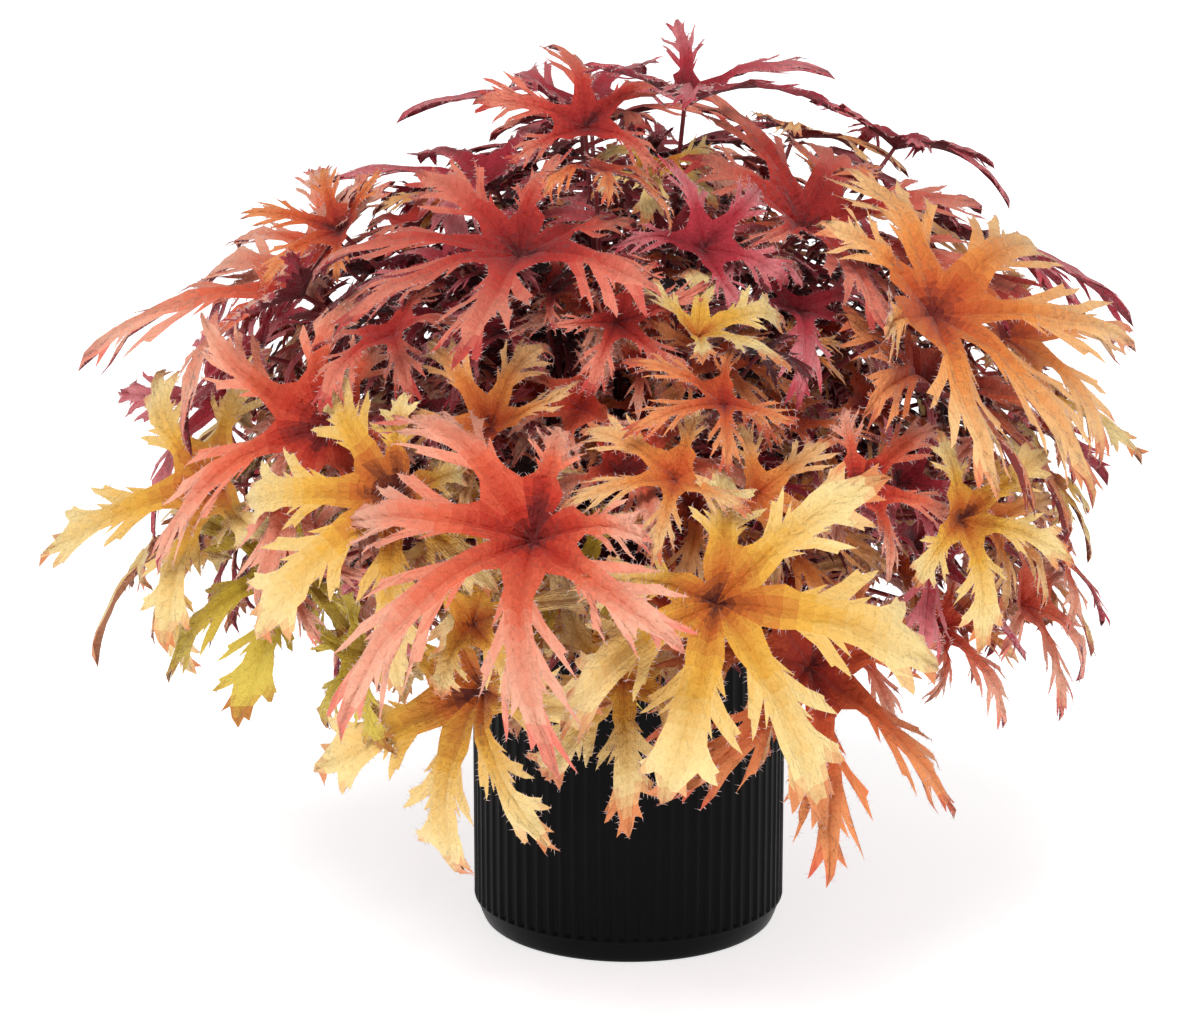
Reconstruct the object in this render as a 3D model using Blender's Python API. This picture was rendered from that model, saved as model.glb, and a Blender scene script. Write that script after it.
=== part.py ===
"""Potted coral bells: a cut-leaf clump in autumn colours, in a fluted black nursery pot.

Metres, +Z up. The origin is the middle of the pot's flat underside, and the plant's front faces -Y.
The pot holds a plug of potting mix, and the short woody rootstock stands on the mix. Stems leave the
rootstock in three tiers, and each stem with its petioles and leaves is one mass of foliage. A leaf is
placed by its azimuth and height angle round the middle of the crown. The leading leaves are listed by
hand, and a seeded rule fills the crown between and behind them.
"""

import math
import random

import bmesh
import bpy
from mathutils import Vector
from mathutils.bvhtree import BVHTree

# Pot
POT_RADIUS = 0.065
POT_HEIGHT = 0.1405
POT_WALL = 0.0018
POT_FLOOR = 0.003
FOOT_RADIUS = 0.059
FOOT_ROUND = 0.002
BAND_HEIGHT = 0.0095
BAND_STEP = 0.0005
BAND_RADIUS = POT_RADIUS - 0.001
RIM_HEIGHT = 0.004
RIM_RADIUS = POT_RADIUS + 0.0003
RIB_COUNT = 72
RIB_DEPTH = 0.0008
GAP = 0.0003

# Potting mix and rootstock
SOIL_LEVEL = 0.128
SOIL_EDGE_DROP = 0.003
SOIL_STEPS = 36
ROOT_FOOT = SOIL_LEVEL + GAP
ROOT_TOP = 0.166
ROOT_FOOT_RADIUS = 0.0145
ROOT_TOP_RADIUS = 0.0105
ROOT_STEPS = 24
ROOT_GROOVE = 0.94

# Crown
CROWN_MIDDLE = Vector((0.0, 0.0, 0.15))
FRONT = Vector((0.0, -1.0, 0.25))
UP = Vector((0.0, 0.0, 1.0))
LEADING_UPWARD = 0.38
FILLING_UPWARD = 0.62
STEM_RADIUS = 0.0030
STEM_TIP_RADIUS = 0.0026
STEM_LENGTH = 0.015
PETIOLE_RADIUS = 0.0013
PETIOLE_TIP_RADIUS = 0.0009
PETIOLE_POINTS = 4
PETIOLE_RISE = 0.18
PETIOLE_STARTS = (0.45, 0.95)
PETIOLE_END = 0.045
PETIOLE_SIDE = 158

# Leaves, as shares of a leaf's length
LARGE_LOBES = ((-142, 0.50), (-97, 0.78), (-48, 0.93), (0, 1.0), (48, 0.93), (97, 0.78), (142, 0.50))
SMALL_LOBES = ((-118, 0.66), (-58, 0.90), (0, 1.0), (58, 0.90), (118, 0.66))
LARGE_LEAF = 0.088
SINUS_REACH = 0.30
BASE_NOTCH = 0.10
LOBE_BELLY = 0.64
LOBE_WIDTH = 0.125
HUB_HALF_THICKNESS = 0.009
LOBE_HALF_THICKNESS = 0.007
CHANNEL = 0.018

# Room kept round a leaf while it is placed
LEAF_MARGIN = 1.03
LEAF_ROOM = 0.022
PETIOLE_ROOM = 0.0022
POT_ROOM = 0.0030
LOWEST_LEAF = 0.020
LOWEST_FILLING = 0.080
EASES = 30
EASE_STEP = 5
FILLING_TRIES = 52
HUB_CHOICES = 14
INNER_SHRINK = 0.42
SEED = 57

# Tier: name, masses, azimuth of the first, stem height, stem slope, height angles and reach of its
# leaves' hubs, leaf length, leaves in a mass.
TIERS = (
    ("low", 7, 0, 0.1400, 24, (0, 25), (0.100, 0.186), (0.072, 0.104), 8),
    ("middle", 5, 36, 0.1530, 54, (25, 60), (0.085, 0.190), (0.070, 0.104), 9),
    ("top", 2, 90, ROOT_TOP, 80, (60, 88), (0.085, 0.190), (0.062, 0.092), 10),
)

# Leading leaves: azimuth, height angle, reach of the hub in mm, turn of the middle lobe from
# downhill, leaf length in mm, lean of the blade to the front, tint.
LEADING_LEAVES = (
    (10, 11, 180, 40, 112, 1.0, "gold"),
    (-12, 18, 185, -43, 112, -0.3, "coral"),
    (-22, 33, 167, -136, 56, 0.7, "amber"),
    (-2, 29, 152, 75, 72, -0.5, "coral"),
    (-33, 22, 167, -32, 101, 0.6, "gold"),
    (51, 34, 170, -5, 92, -0.4, "rust"),
    (49, 40, 197, 69, 112, 0.2, "amber"),
    (-52, 29, 168, -64, 89, 1.5, "coral"),
    (-52, 50, 150, 34, 53, -0.2, "rose"),
    (46, 14, 153, 8, 71, -0.2, "rose"),
    (-77, 42, 180, -40, 106, 0.1, "coral"),
    (-72, 16, 178, -55, 87, 0.9, "gold"),
    (-20, 75, 198, -172, 56, 1.5, "brick"),
    (35, 79, 198, 33, 80, -0.1, "rose"),
    (-82, 71, 169, -40, 72, 0.2, "rose"),
    (53, 61, 173, 80, 130, 0.1, "brick"),
    (102, 62, 167, 114, 47, 1.6, "rust"),
    (16, 57, 181, 133, 51, 1.6, "rose"),
    (-3, 48, 172, 42, 46, 1.0, "brick"),
    (11, 44, 179, 99, 49, -0.3, "gold"),
    (-103, 45, 177, -85, 72, 1.0, "coral"),
    (-73, 51, 186, -108, 58, 1.5, "rust"),
    (43, 17, 187, 63, 59, 1.4, "olive"),
    (-20, -2, 158, 0, 106, -0.3, "gold"),
    (-93, 23, 181, -71, 82, 0.9, "wine"),
    (14, 76, 187, -6, 47, 0.7, "gold"),
    (29, 59, 169, -50, 48, -0.4, "rose"),
    (83, 34, 173, 60, 106, 0.5, "wine"),
    (-60, 8, 150, -48, 79, 0.7, "olive"),
    (28, 35, 150, 49, 46, -0.4, "rust"),
    (-39, 0, 156, -31, 54, -0.2, "olive"),
    (-51, 57, 163, -60, 60, -0.3, "rose"),
    (86, 14, 161, 53, 46, 0.0, "olive"),
    (-105, 63, 174, -152, 58, 1.1, "amber"),
)

# Tints that a tier's filling leaves take, for the left half and the right half of the crown.
TIER_TINTS = {
    "low": (("gold", "olive", "coral", "gold"), ("gold", "olive", "rust", "rose")),
    "middle": (("coral", "rose", "brick", "wine"), ("rust", "amber", "rose", "wine")),
    "top": (("rose", "brick", "rust", "wine"), ("brick", "rose", "wine", "coral")),
}
TINT_COLOURS = {
    "gold": (0.66, 0.40, 0.07),
    "olive": (0.40, 0.32, 0.05),
    "amber": (0.74, 0.33, 0.09),
    "rust": (0.60, 0.17, 0.04),
    "coral": (0.68, 0.15, 0.07),
    "rose": (0.42, 0.06, 0.07),
    "brick": (0.45, 0.06, 0.04),
    "wine": (0.20, 0.01, 0.02),
}


def empty_the_scene():
    for old in list(bpy.data.objects):
        bpy.data.objects.remove(old, do_unlink=True)


def new_collection(name):
    collection = bpy.data.collections.new(name)
    bpy.context.scene.collection.children.link(collection)
    return collection


def finish(name, colour, roughness, metallic=0.0):
    material = bpy.data.materials.new(name)
    material.use_nodes = True
    shader = material.node_tree.nodes["Principled BSDF"]
    shader.inputs["Base Color"].default_value = (*colour, 1.0)
    shader.inputs["Roughness"].default_value = roughness
    shader.inputs["Metallic"].default_value = metallic
    return material


def add_object(name, mesh, collection, material=None):
    obj = bpy.data.objects.new(name, mesh)
    collection.objects.link(obj)
    if material is not None:
        mesh.materials.append(material)
    return obj


def mesh_from(name, points, faces):
    mesh = bpy.data.meshes.new(name)
    mesh.from_pydata([tuple(point) for point in points], [], faces)
    mesh.update()
    return mesh


def turned(name, profile, steps):
    """A closed mesh from a profile of (radius, height) that starts and ends on the axis."""
    shape = bmesh.new()
    corners = [shape.verts.new((radius, 0.0, height)) for radius, height in profile]
    edges = [shape.edges.new(pair) for pair in zip(corners, corners[1:])]
    bmesh.ops.spin(
        shape, geom=corners + edges, axis=UP, cent=(0, 0, 0), steps=steps, angle=math.tau, use_merge=True
    )
    bmesh.ops.remove_doubles(shape, verts=shape.verts, dist=1e-6)
    bmesh.ops.recalc_face_normals(shape, faces=shape.faces)
    mesh = bpy.data.meshes.new(name)
    shape.to_mesh(mesh)
    shape.free()
    return mesh


def smooth(mesh, angle):
    mesh.shade_smooth()
    mesh.set_sharp_from_angle(angle=math.radians(angle))


def direction(azimuth, height):
    """The way out from the crown's middle: azimuth 0 is the front, 90 is +X, and height is upward."""
    around, above = math.radians(azimuth), math.radians(height)
    return Vector((
        math.sin(around) * math.cos(above),
        -math.cos(around) * math.cos(above),
        math.sin(above),
    ))


# ---------------------------------------------------------------------------------------------
# The growth rule


def root_radius(height):
    """The rootstock's radius at a height: it tapers from its foot to its top."""
    share = (height - ROOT_FOOT) / (ROOT_TOP - ROOT_FOOT)
    return ROOT_FOOT_RADIUS + (ROOT_TOP_RADIUS - ROOT_FOOT_RADIUS) * share


class Mass:
    """A stem on the rootstock and the leaves that it carries."""

    def __init__(self, tier, number):
        name, count, first, stem_height, slope, heights, reaches, lengths, leaves = tier
        self.tier = name
        self.name = f"foliage_{name}_{number + 1}"
        self.azimuth = first + 360.0 * number / count
        self.half_sector = 180.0 / count
        self.heights = heights
        self.reaches = reaches
        self.lengths = lengths
        self.wanted = leaves
        self.way = direction(self.azimuth, slope)
        self.foot = self.foot_of_stem(stem_height, math.radians(slope))
        self.tip = self.foot + self.way * STEM_LENGTH
        self.leaves = []

    def foot_of_stem(self, height, slope):
        """Where the stem starts: the nearest edge of its foot is the gap away from the rootstock."""
        outward = direction(self.azimuth, 0)
        if height < ROOT_TOP:
            upper_edge = height + STEM_RADIUS * math.cos(slope)
            radius = root_radius(upper_edge) + GAP + STEM_RADIUS * math.sin(slope)
            return outward * radius + UP * height
        lift = GAP + STEM_RADIUS * math.cos(slope)
        return outward * (ROOT_TOP_RADIUS * 0.5) + UP * (height + lift)

    def holds(self, azimuth, height):
        """Whether a leaf at these angles grows from this stem."""
        lowest, highest = self.heights
        if self.tier == "low":
            lowest = -90
        elif self.tier == "top":
            highest = 91
        turn = (azimuth - self.azimuth + 180) % 360 - 180
        return lowest <= height < highest and -self.half_sector <= turn < self.half_sector


class Leaf:
    """A palmate blade, bent over its hub, with its petiole from the mass's stem."""

    def __init__(self, mass, azimuth, height, reach, turn, length, tint, facing, chance, ease):
        self.mass = mass
        self.tint = tint
        self.length = length * (1.0 - 0.014 * ease)
        outward = direction(azimuth, height)
        self.hub = CROWN_MIDDLE + outward * (reach + chance.uniform(-0.0008, 0.0008) * ease)
        wobble = 0.03 + 0.007 * ease
        tilt = Vector([chance.gauss(0, wobble) for _ in range(3)])
        self.normal = (outward + facing + tilt).normalized()
        downhill = (self.normal * self.normal.z - UP).normalized()
        across = self.normal.cross(downhill)
        turned_by = math.radians(turn + chance.gauss(0, 1.0 + 0.8 * ease))
        self.axis = downhill * math.cos(turned_by) + across * math.sin(turned_by)
        self.side = self.normal.cross(self.axis)
        self.cup = chance.uniform(0.42, 0.70)
        self.curl = chance.uniform(1.05, 1.60)
        self.waves = [(chance.uniform(0.0, 0.30), chance.uniform(0, math.tau)) for _ in range(3)]
        lobes = LARGE_LOBES if length > LARGE_LEAF else SMALL_LOBES
        self.lobes = [
            (math.radians(angle + chance.uniform(-5, 5)), share * chance.uniform(0.88, 1.06))
            for angle, share in lobes
        ]
        self.start = mass.foot + mass.way * STEM_LENGTH * chance.uniform(*PETIOLE_STARTS)
        self.end = self.point(math.radians(PETIOLE_SIDE), PETIOLE_END)

    def curl_at(self, angle):
        """How far a lobe at this angle bends over, in radians from hub to tip."""
        wave = sum(size * math.cos(count * angle + shift) for count, (size, shift) in enumerate(self.waves, 1))
        return self.curl + wave

    def point(self, angle, share, lift=0.0):
        """A place on the blade at this angle, a share of the length out from the hub."""
        curl = self.curl_at(angle)
        bend = self.cup - curl * share
        heading = self.axis * math.cos(angle) + self.side * math.sin(angle)
        outward = (math.sin(self.cup) - math.sin(bend)) / curl
        upward = (math.cos(bend) - math.cos(self.cup)) / curl
        facing = self.normal * math.cos(bend) - heading * math.sin(bend)
        return self.hub + (heading * outward + self.normal * upward + facing * lift) * self.length

    def lobe_point(self, angle, along, across, lift=0.0):
        """A place on a lobe, along and across its middle line."""
        return self.point(angle + math.atan2(across, along), math.hypot(along, across), lift)

    def petiole(self):
        """Points along the petiole, which rises from the stem and bends over to the hub."""
        way = self.end - self.start
        rise = math.hypot(way.x, way.y) * PETIOLE_RISE
        crest = self.start + way * 0.5 + UP * rise
        shares = [step / (PETIOLE_POINTS - 1) for step in range(PETIOLE_POINTS)]
        return [
            self.start * (1 - share) ** 2 + crest * 2 * share * (1 - share) + self.end * share ** 2
            for share in shares
        ]


def blade_faces(leaf, half_hub, half_lobe, margin=1.0):
    """The blade as a closed lens: fans from the hub to each lobe's ridge and edge, over and under."""
    points = [leaf.point(0.0, 0.0, half_hub), leaf.point(0.0, 0.0, -half_hub)]
    points.append(leaf.point(math.pi, BASE_NOTCH * margin))
    notch = 2
    faces = []
    before = notch
    for place, (angle, share) in enumerate(leaf.lobes):
        reach = share * margin
        width = LOBE_WIDTH * share * margin
        belly = LOBE_BELLY * reach
        first = len(points)
        points.append(leaf.lobe_point(angle, belly, -width, CHANNEL))
        points.append(leaf.lobe_point(angle, reach, 0.0))
        points.append(leaf.lobe_point(angle, belly, width, CHANNEL))
        points.append(leaf.lobe_point(angle, belly, 0.0, half_lobe))
        points.append(leaf.lobe_point(angle, belly, 0.0, -half_lobe))
        right, tip, left, over, under = range(first, first + 5)
        after = notch
        if place + 1 < len(leaf.lobes):
            after = len(points)
            between = 0.5 * (angle + leaf.lobes[place + 1][0])
            points.append(leaf.point(between, SINUS_REACH * margin))
        for middle, ridge, forward in ((0, over, True), (1, under, False)):
            fan = [
                (middle, before, ridge),
                (before, right, ridge),
                (ridge, right, tip),
                (ridge, tip, left),
                (ridge, left, after),
                (middle, ridge, after),
            ]
            faces += fan if forward else [corners[::-1] for corners in fan]
        before = after
    return points, faces


def tube_faces(path, radius):
    """A three-sided tube round a path, open at its ends."""
    points = []
    faces = []
    for place, middle in enumerate(path):
        ahead = path[min(place + 1, len(path) - 1)] - path[max(place - 1, 0)]
        across = ahead.cross(Vector((0.31, 0.17, 0.93))).normalized()
        up = across.cross(ahead).normalized()
        for corner in range(3):
            angle = math.tau * corner / 3
            points.append(middle + (across * math.cos(angle) + up * math.sin(angle)) * radius)
        if place:
            ring = 3 * place
            faces += [
                (ring - 3 + corner, ring - 3 + (corner + 1) % 3, ring + (corner + 1) % 3, ring + corner)
                for corner in range(3)
            ]
    return points, faces


def cylinder_faces(radius, lowest, highest, sides=24):
    """The room that a round body takes, closed over its top."""
    points = [UP * highest]
    for height in (lowest, highest):
        for step in range(sides):
            angle = math.tau * step / sides
            points.append(Vector((radius * math.cos(angle), radius * math.sin(angle), height)))
    faces = []
    for step in range(sides):
        here, there = 1 + step, 1 + (step + 1) % sides
        faces.append((here, there, there + sides, here + sides))
        faces.append((0, here + sides, there + sides))
    return points, faces


class Room:
    """The space that a placed leaf takes: its blade and its petiole, each with some room round it."""

    def __init__(self, leaf):
        self.leaf = leaf
        points, faces = blade_faces(leaf, LEAF_ROOM, LEAF_ROOM, LEAF_MARGIN)
        self.lowest = min(point.z for point in points)
        self.blade = BVHTree.FromPolygons(points, faces)
        self.petiole = BVHTree.FromPolygons(*tube_faces(leaf.petiole(), PETIOLE_ROOM))

    def meets(self, other):
        near = self.leaf.length + other.leaf.length
        if (self.leaf.hub - other.leaf.hub).length < near * LEAF_MARGIN and self.blade.overlap(other.blade):
            return True
        if self.blade.overlap(other.petiole) or self.petiole.overlap(other.blade):
            return True
        return self.leaf.mass is not other.leaf.mass and bool(self.petiole.overlap(other.petiole))


class Crown:
    """All the masses, and the rooms of their leaves as they are placed."""

    def __init__(self):
        self.masses = [Mass(tier, number) for tier in TIERS for number in range(tier[1])]
        self.rooms = []
        self.pot = BVHTree.FromPolygons(*cylinder_faces(RIM_RADIUS + POT_ROOM, 0.0, POT_HEIGHT + POT_ROOM))
        foot_room = ROOT_FOOT_RADIUS + STEM_LENGTH
        self.root = BVHTree.FromPolygons(*cylinder_faces(foot_room, POT_HEIGHT, ROOT_TOP + STEM_LENGTH))

    def mass_at(self, azimuth, height):
        return next(mass for mass in self.masses if mass.holds(azimuth, height))

    def fits(self, room, lowest):
        if room.lowest < lowest or room.blade.overlap(self.pot) or room.petiole.overlap(self.pot):
            return False
        return not room.blade.overlap(self.root) and not any(room.meets(other) for other in self.rooms)

    def place(self, leaf, lowest=LOWEST_LEAF):
        room = Room(leaf)
        if not self.fits(room, lowest):
            return False
        self.rooms.append(room)
        leaf.mass.leaves.append(leaf)
        return True

    def place_leading(self):
        """The leaves listed by hand. One that meets another is turned, drawn in and made smaller."""
        for number, (azimuth, height, reach, turn, length, lean, tint) in enumerate(LEADING_LEAVES):
            chance = random.Random(SEED * 1000 + number)
            mass = self.mass_at(azimuth, height)
            facing = UP * LEADING_UPWARD + FRONT * lean
            for ease in range(EASES):
                leaf = Leaf(mass, azimuth, height, reach / 1000, turn, length / 1000, tint, facing, chance, ease)
                if self.place(leaf):
                    break

    def emptiest(self, mass, chance):
        """Of some angles in the mass's sector, the ones furthest from every hub so far."""
        best = None
        for _ in range(HUB_CHOICES):
            azimuth = mass.azimuth + chance.uniform(-0.92, 0.92) * mass.half_sector
            height = chance.uniform(*mass.heights)
            reach = chance.triangular(*mass.reaches, mass.reaches[1])
            hub = CROWN_MIDDLE + direction(azimuth, height) * reach
            nearest = min((room.leaf.hub - hub).length for room in self.rooms)
            if best is None or nearest > best[0]:
                best = (nearest, azimuth, height, reach)
        return best[1:]

    def fill(self, mass, number):
        """Leaves placed by the rule, until the mass has as many as its tier wants."""
        chance = random.Random(SEED * 2000 + number)
        nearest_reach, furthest_reach = mass.reaches
        for attempt in range(FILLING_TRIES):
            if len(mass.leaves) >= mass.wanted:
                break
            azimuth, height, reach = self.emptiest(mass, chance)
            turn = chance.gauss(0, 32)
            inward = (furthest_reach - reach) / (furthest_reach - nearest_reach)
            length = chance.uniform(*mass.lengths) * (1.0 - INNER_SHRINK * inward)
            right_half = math.sin(math.radians(azimuth)) > 0
            tint = chance.choice(TIER_TINTS[mass.tier][right_half])
            facing = UP * FILLING_UPWARD
            for ease in range(0, EASES, EASE_STEP):
                leaf = Leaf(mass, azimuth, height, reach, turn, length, tint, facing, chance, ease)
                if self.place(leaf, LOWEST_FILLING):
                    break


def grow():
    """The whole crown, leading leaves first."""
    crown = Crown()
    crown.place_leading()
    for number, mass in enumerate(crown.masses):
        crown.fill(mass, number)
    return crown


# ---------------------------------------------------------------------------------------------
# The solids


def build_pot(collection):
    """A thin straight pot: ribbed wall over a smooth band that draws in to a flat foot, plain rim."""
    wall_foot = BAND_HEIGHT + BAND_STEP
    wall_top = POT_HEIGHT - RIM_HEIGHT
    inner = POT_RADIUS - POT_WALL
    profile = [
        (0.0, 0.0),
        (FOOT_RADIUS, 0.0),
        (FOOT_RADIUS + FOOT_ROUND, FOOT_ROUND),
        (BAND_RADIUS, BAND_HEIGHT),
        (POT_RADIUS, wall_foot),
        (POT_RADIUS, wall_top),
        (RIM_RADIUS, POT_HEIGHT),
        (inner, POT_HEIGHT),
        (FOOT_RADIUS, POT_FLOOR),
        (0.0, POT_FLOOR),
    ]
    mesh = turned("pot", profile, 2 * RIB_COUNT)
    for corner in mesh.vertices:
        place = corner.co
        on_wall = wall_foot - 1e-5 < place.z < wall_top + 1e-5 and math.hypot(place.x, place.y) > BAND_RADIUS
        step = round(math.atan2(place.y, place.x) / math.tau * 2 * RIB_COUNT)
        if on_wall and step % 2:
            place.xy = place.xy * (1.0 - RIB_DEPTH / POT_RADIUS)
    smooth(mesh, 25)
    add_object("pot", mesh, collection, finish("pot_plastic", (0.012, 0.012, 0.013), 0.4))


def inner_radius(height):
    """The pot's inner radius at a height."""
    share = (height - POT_FLOOR) / (POT_HEIGHT - POT_FLOOR)
    return FOOT_RADIUS + (POT_RADIUS - POT_WALL - FOOT_RADIUS) * share


def build_soil(collection):
    """The plug of potting mix, the gap clear of the pot all round, a little lower at its edge."""
    foot = POT_FLOOR + GAP
    edge = SOIL_LEVEL - SOIL_EDGE_DROP
    clear = 2 * GAP
    profile = [
        (0.0, foot),
        (inner_radius(foot) - clear, foot),
        (inner_radius(edge) - clear, edge),
        (ROOT_FOOT_RADIUS * 2, SOIL_LEVEL),
        (0.0, SOIL_LEVEL),
    ]
    mesh = turned("soil", profile, SOIL_STEPS)
    smooth(mesh, 40)
    add_object("soil", mesh, collection, finish("potting_mix", (0.045, 0.028, 0.018), 0.95))


def build_rootstock(collection):
    """The short woody stem inside the clump: widest at its foot, with a ridge at each tier of stems."""
    profile = [(0.0, ROOT_FOOT), (ROOT_FOOT_RADIUS, ROOT_FOOT)]
    below = ROOT_FOOT
    for _, _, _, stem_height, slope, *_ in TIERS:
        ridge = min(ROOT_TOP, stem_height + STEM_RADIUS * math.cos(math.radians(slope)))
        groove = 0.5 * (below + ridge)
        profile.append((root_radius(groove) * ROOT_GROOVE, groove))
        if ridge < ROOT_TOP:
            profile.append((root_radius(ridge), ridge))
        below = ridge
    profile += [(ROOT_TOP_RADIUS, ROOT_TOP), (0.0, ROOT_TOP)]
    mesh = turned("rootstock", profile, ROOT_STEPS)
    smooth(mesh, 50)
    add_object("rootstock", mesh, collection, finish("root_bark", (0.16, 0.09, 0.06), 0.85))


def triangle_section():
    """The three-cornered section that petioles are drawn with."""
    section = bpy.data.curves.new("petiole_section", "CURVE")
    section.dimensions = "2D"
    outline = section.splines.new("POLY")
    outline.points.add(2)
    outline.use_cyclic_u = True
    for corner, point in enumerate(outline.points):
        angle = math.tau * corner / 3
        point.co = (math.cos(angle), math.sin(angle), 0.0, 1.0)
    guide = bpy.data.objects.new("petiole_section", section)
    bpy.context.scene.collection.objects.link(guide)
    guide.hide_render = True
    guide.display_type = "WIRE"
    return guide


def limb(name, path, radii, collection, section=None):
    """A tapering limb along a path, made a closed mesh."""
    line = bpy.data.curves.new(name, "CURVE")
    line.dimensions = "3D"
    line.use_fill_caps = True
    if section is None:
        line.bevel_depth = 1.0
        line.bevel_resolution = 1
    else:
        line.bevel_mode = "OBJECT"
        line.bevel_object = section
    spline = line.splines.new("POLY")
    spline.points.add(len(path) - 1)
    for point, place, radius in zip(spline.points, path, radii):
        point.co = (*place, 1.0)
        point.radius = radius
    drawn = bpy.data.objects.new(name + "_line", line)
    collection.objects.link(drawn)
    bpy.context.view_layer.update()
    evaluated = drawn.evaluated_get(bpy.context.evaluated_depsgraph_get())
    mesh = bpy.data.meshes.new_from_object(evaluated)
    welded = bmesh.new()
    welded.from_mesh(mesh)
    bmesh.ops.remove_doubles(welded, verts=welded.verts, dist=1e-6)
    bmesh.ops.recalc_face_normals(welded, faces=welded.faces)
    welded.to_mesh(mesh)
    welded.free()
    solid = bpy.data.objects.new(name, mesh)
    solid.matrix_world = drawn.matrix_world
    collection.objects.link(solid)
    bpy.data.objects.remove(drawn, do_unlink=True)
    return solid


def bodies_of(shape):
    """The faces of each separate body."""
    left = set(shape.faces)
    bodies = []
    while left:
        body = set()
        edge_of_search = [left.pop()]
        while edge_of_search:
            face = edge_of_search.pop()
            body.add(face)
            for edge in face.edges:
                for other in edge.link_faces:
                    if other in left:
                        left.discard(other)
                        edge_of_search.append(other)
        bodies.append(body)
    return sorted(bodies, key=len, reverse=True)


def cleaned(mesh):
    """Keeps the largest body, in triangles. Returns whether it is closed."""
    shape = bmesh.new()
    shape.from_mesh(mesh)
    bmesh.ops.remove_doubles(shape, verts=shape.verts, dist=2e-6)
    bmesh.ops.dissolve_degenerate(shape, edges=shape.edges, dist=2e-6)
    for scrap in bodies_of(shape)[1:]:
        bmesh.ops.delete(shape, geom=list(scrap), context="FACES")
    bmesh.ops.triangulate(shape, faces=shape.faces)
    bmesh.ops.recalc_face_normals(shape, faces=shape.faces)
    closed = all(len(edge.link_faces) == 2 for edge in shape.edges)
    shape.to_mesh(mesh)
    shape.free()
    return closed


def fuse(base, others):
    """The base and all that the collection holds, joined into one closed mesh."""
    union = base.modifiers.new("fuse", "BOOLEAN")
    union.operation = "UNION"
    union.operand_type = "COLLECTION"
    union.collection = others
    for solver in ("EXACT", "MANIFOLD"):
        union.solver = solver
        bpy.context.view_layer.update()
        evaluated = base.evaluated_get(bpy.context.evaluated_depsgraph_get())
        mesh = bpy.data.meshes.new_from_object(evaluated)
        if cleaned(mesh):
            break
    base.modifiers.remove(union)
    base.data = mesh
    for spare in list(others.objects):
        bpy.data.objects.remove(spare, do_unlink=True)
    bpy.data.collections.remove(others)


def mean_colour(leaves):
    colours = [TINT_COLOURS[leaf.tint] for leaf in leaves]
    return tuple(sum(channel) / len(colours) for channel in zip(*colours))


def build_mass(mass, collection, section):
    """The mass's stem, petioles and blades, fused into one solid."""
    sprays = new_collection(mass.name + "_sprays")
    stem = limb(mass.name, [mass.foot, mass.tip], [STEM_RADIUS, STEM_TIP_RADIUS], collection)
    radii = [
        PETIOLE_RADIUS + (PETIOLE_TIP_RADIUS - PETIOLE_RADIUS) * step / (PETIOLE_POINTS - 1)
        for step in range(PETIOLE_POINTS)
    ]
    for number, leaf in enumerate(mass.leaves):
        limb(f"{mass.name}_petiole_{number}", leaf.petiole(), radii, sprays, section)
        points, faces = blade_faces(leaf, HUB_HALF_THICKNESS, LOBE_HALF_THICKNESS)
        add_object(f"{mass.name}_blade_{number}", mesh_from("blade", points, faces), sprays)
    fuse(stem, sprays)
    stem.data.name = mass.name
    stem.data.materials.clear()
    stem.data.materials.append(finish(mass.name + "_leaf", mean_colour(mass.leaves), 0.6))


def main():
    empty_the_scene()
    plant = new_collection("potted_coral_bells")
    build_pot(plant)
    build_soil(plant)
    build_rootstock(plant)
    section = triangle_section()
    for mass in grow().masses:
        build_mass(mass, plant, section)
    bpy.data.objects.remove(section, do_unlink=True)


main()
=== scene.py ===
"""Potted coral bells: a cut-leaf clump in autumn colours, in a fluted black nursery pot.

The CAD solids stay as the frame. Each mass of foliage is grown again by the rule that grew them.
Its leaves are cut to their own outline, toothed, puckered and fringed with hairs, and small inner
leaves fill the space between them. The pot gets its flutes, the rootstock its bark and the mix its
crumbs.
"""

import math
import random

import bmesh
import bpy
import numpy as np
from mathutils import Matrix, Vector, noise
from mathutils.bvhtree import BVHTree


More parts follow.
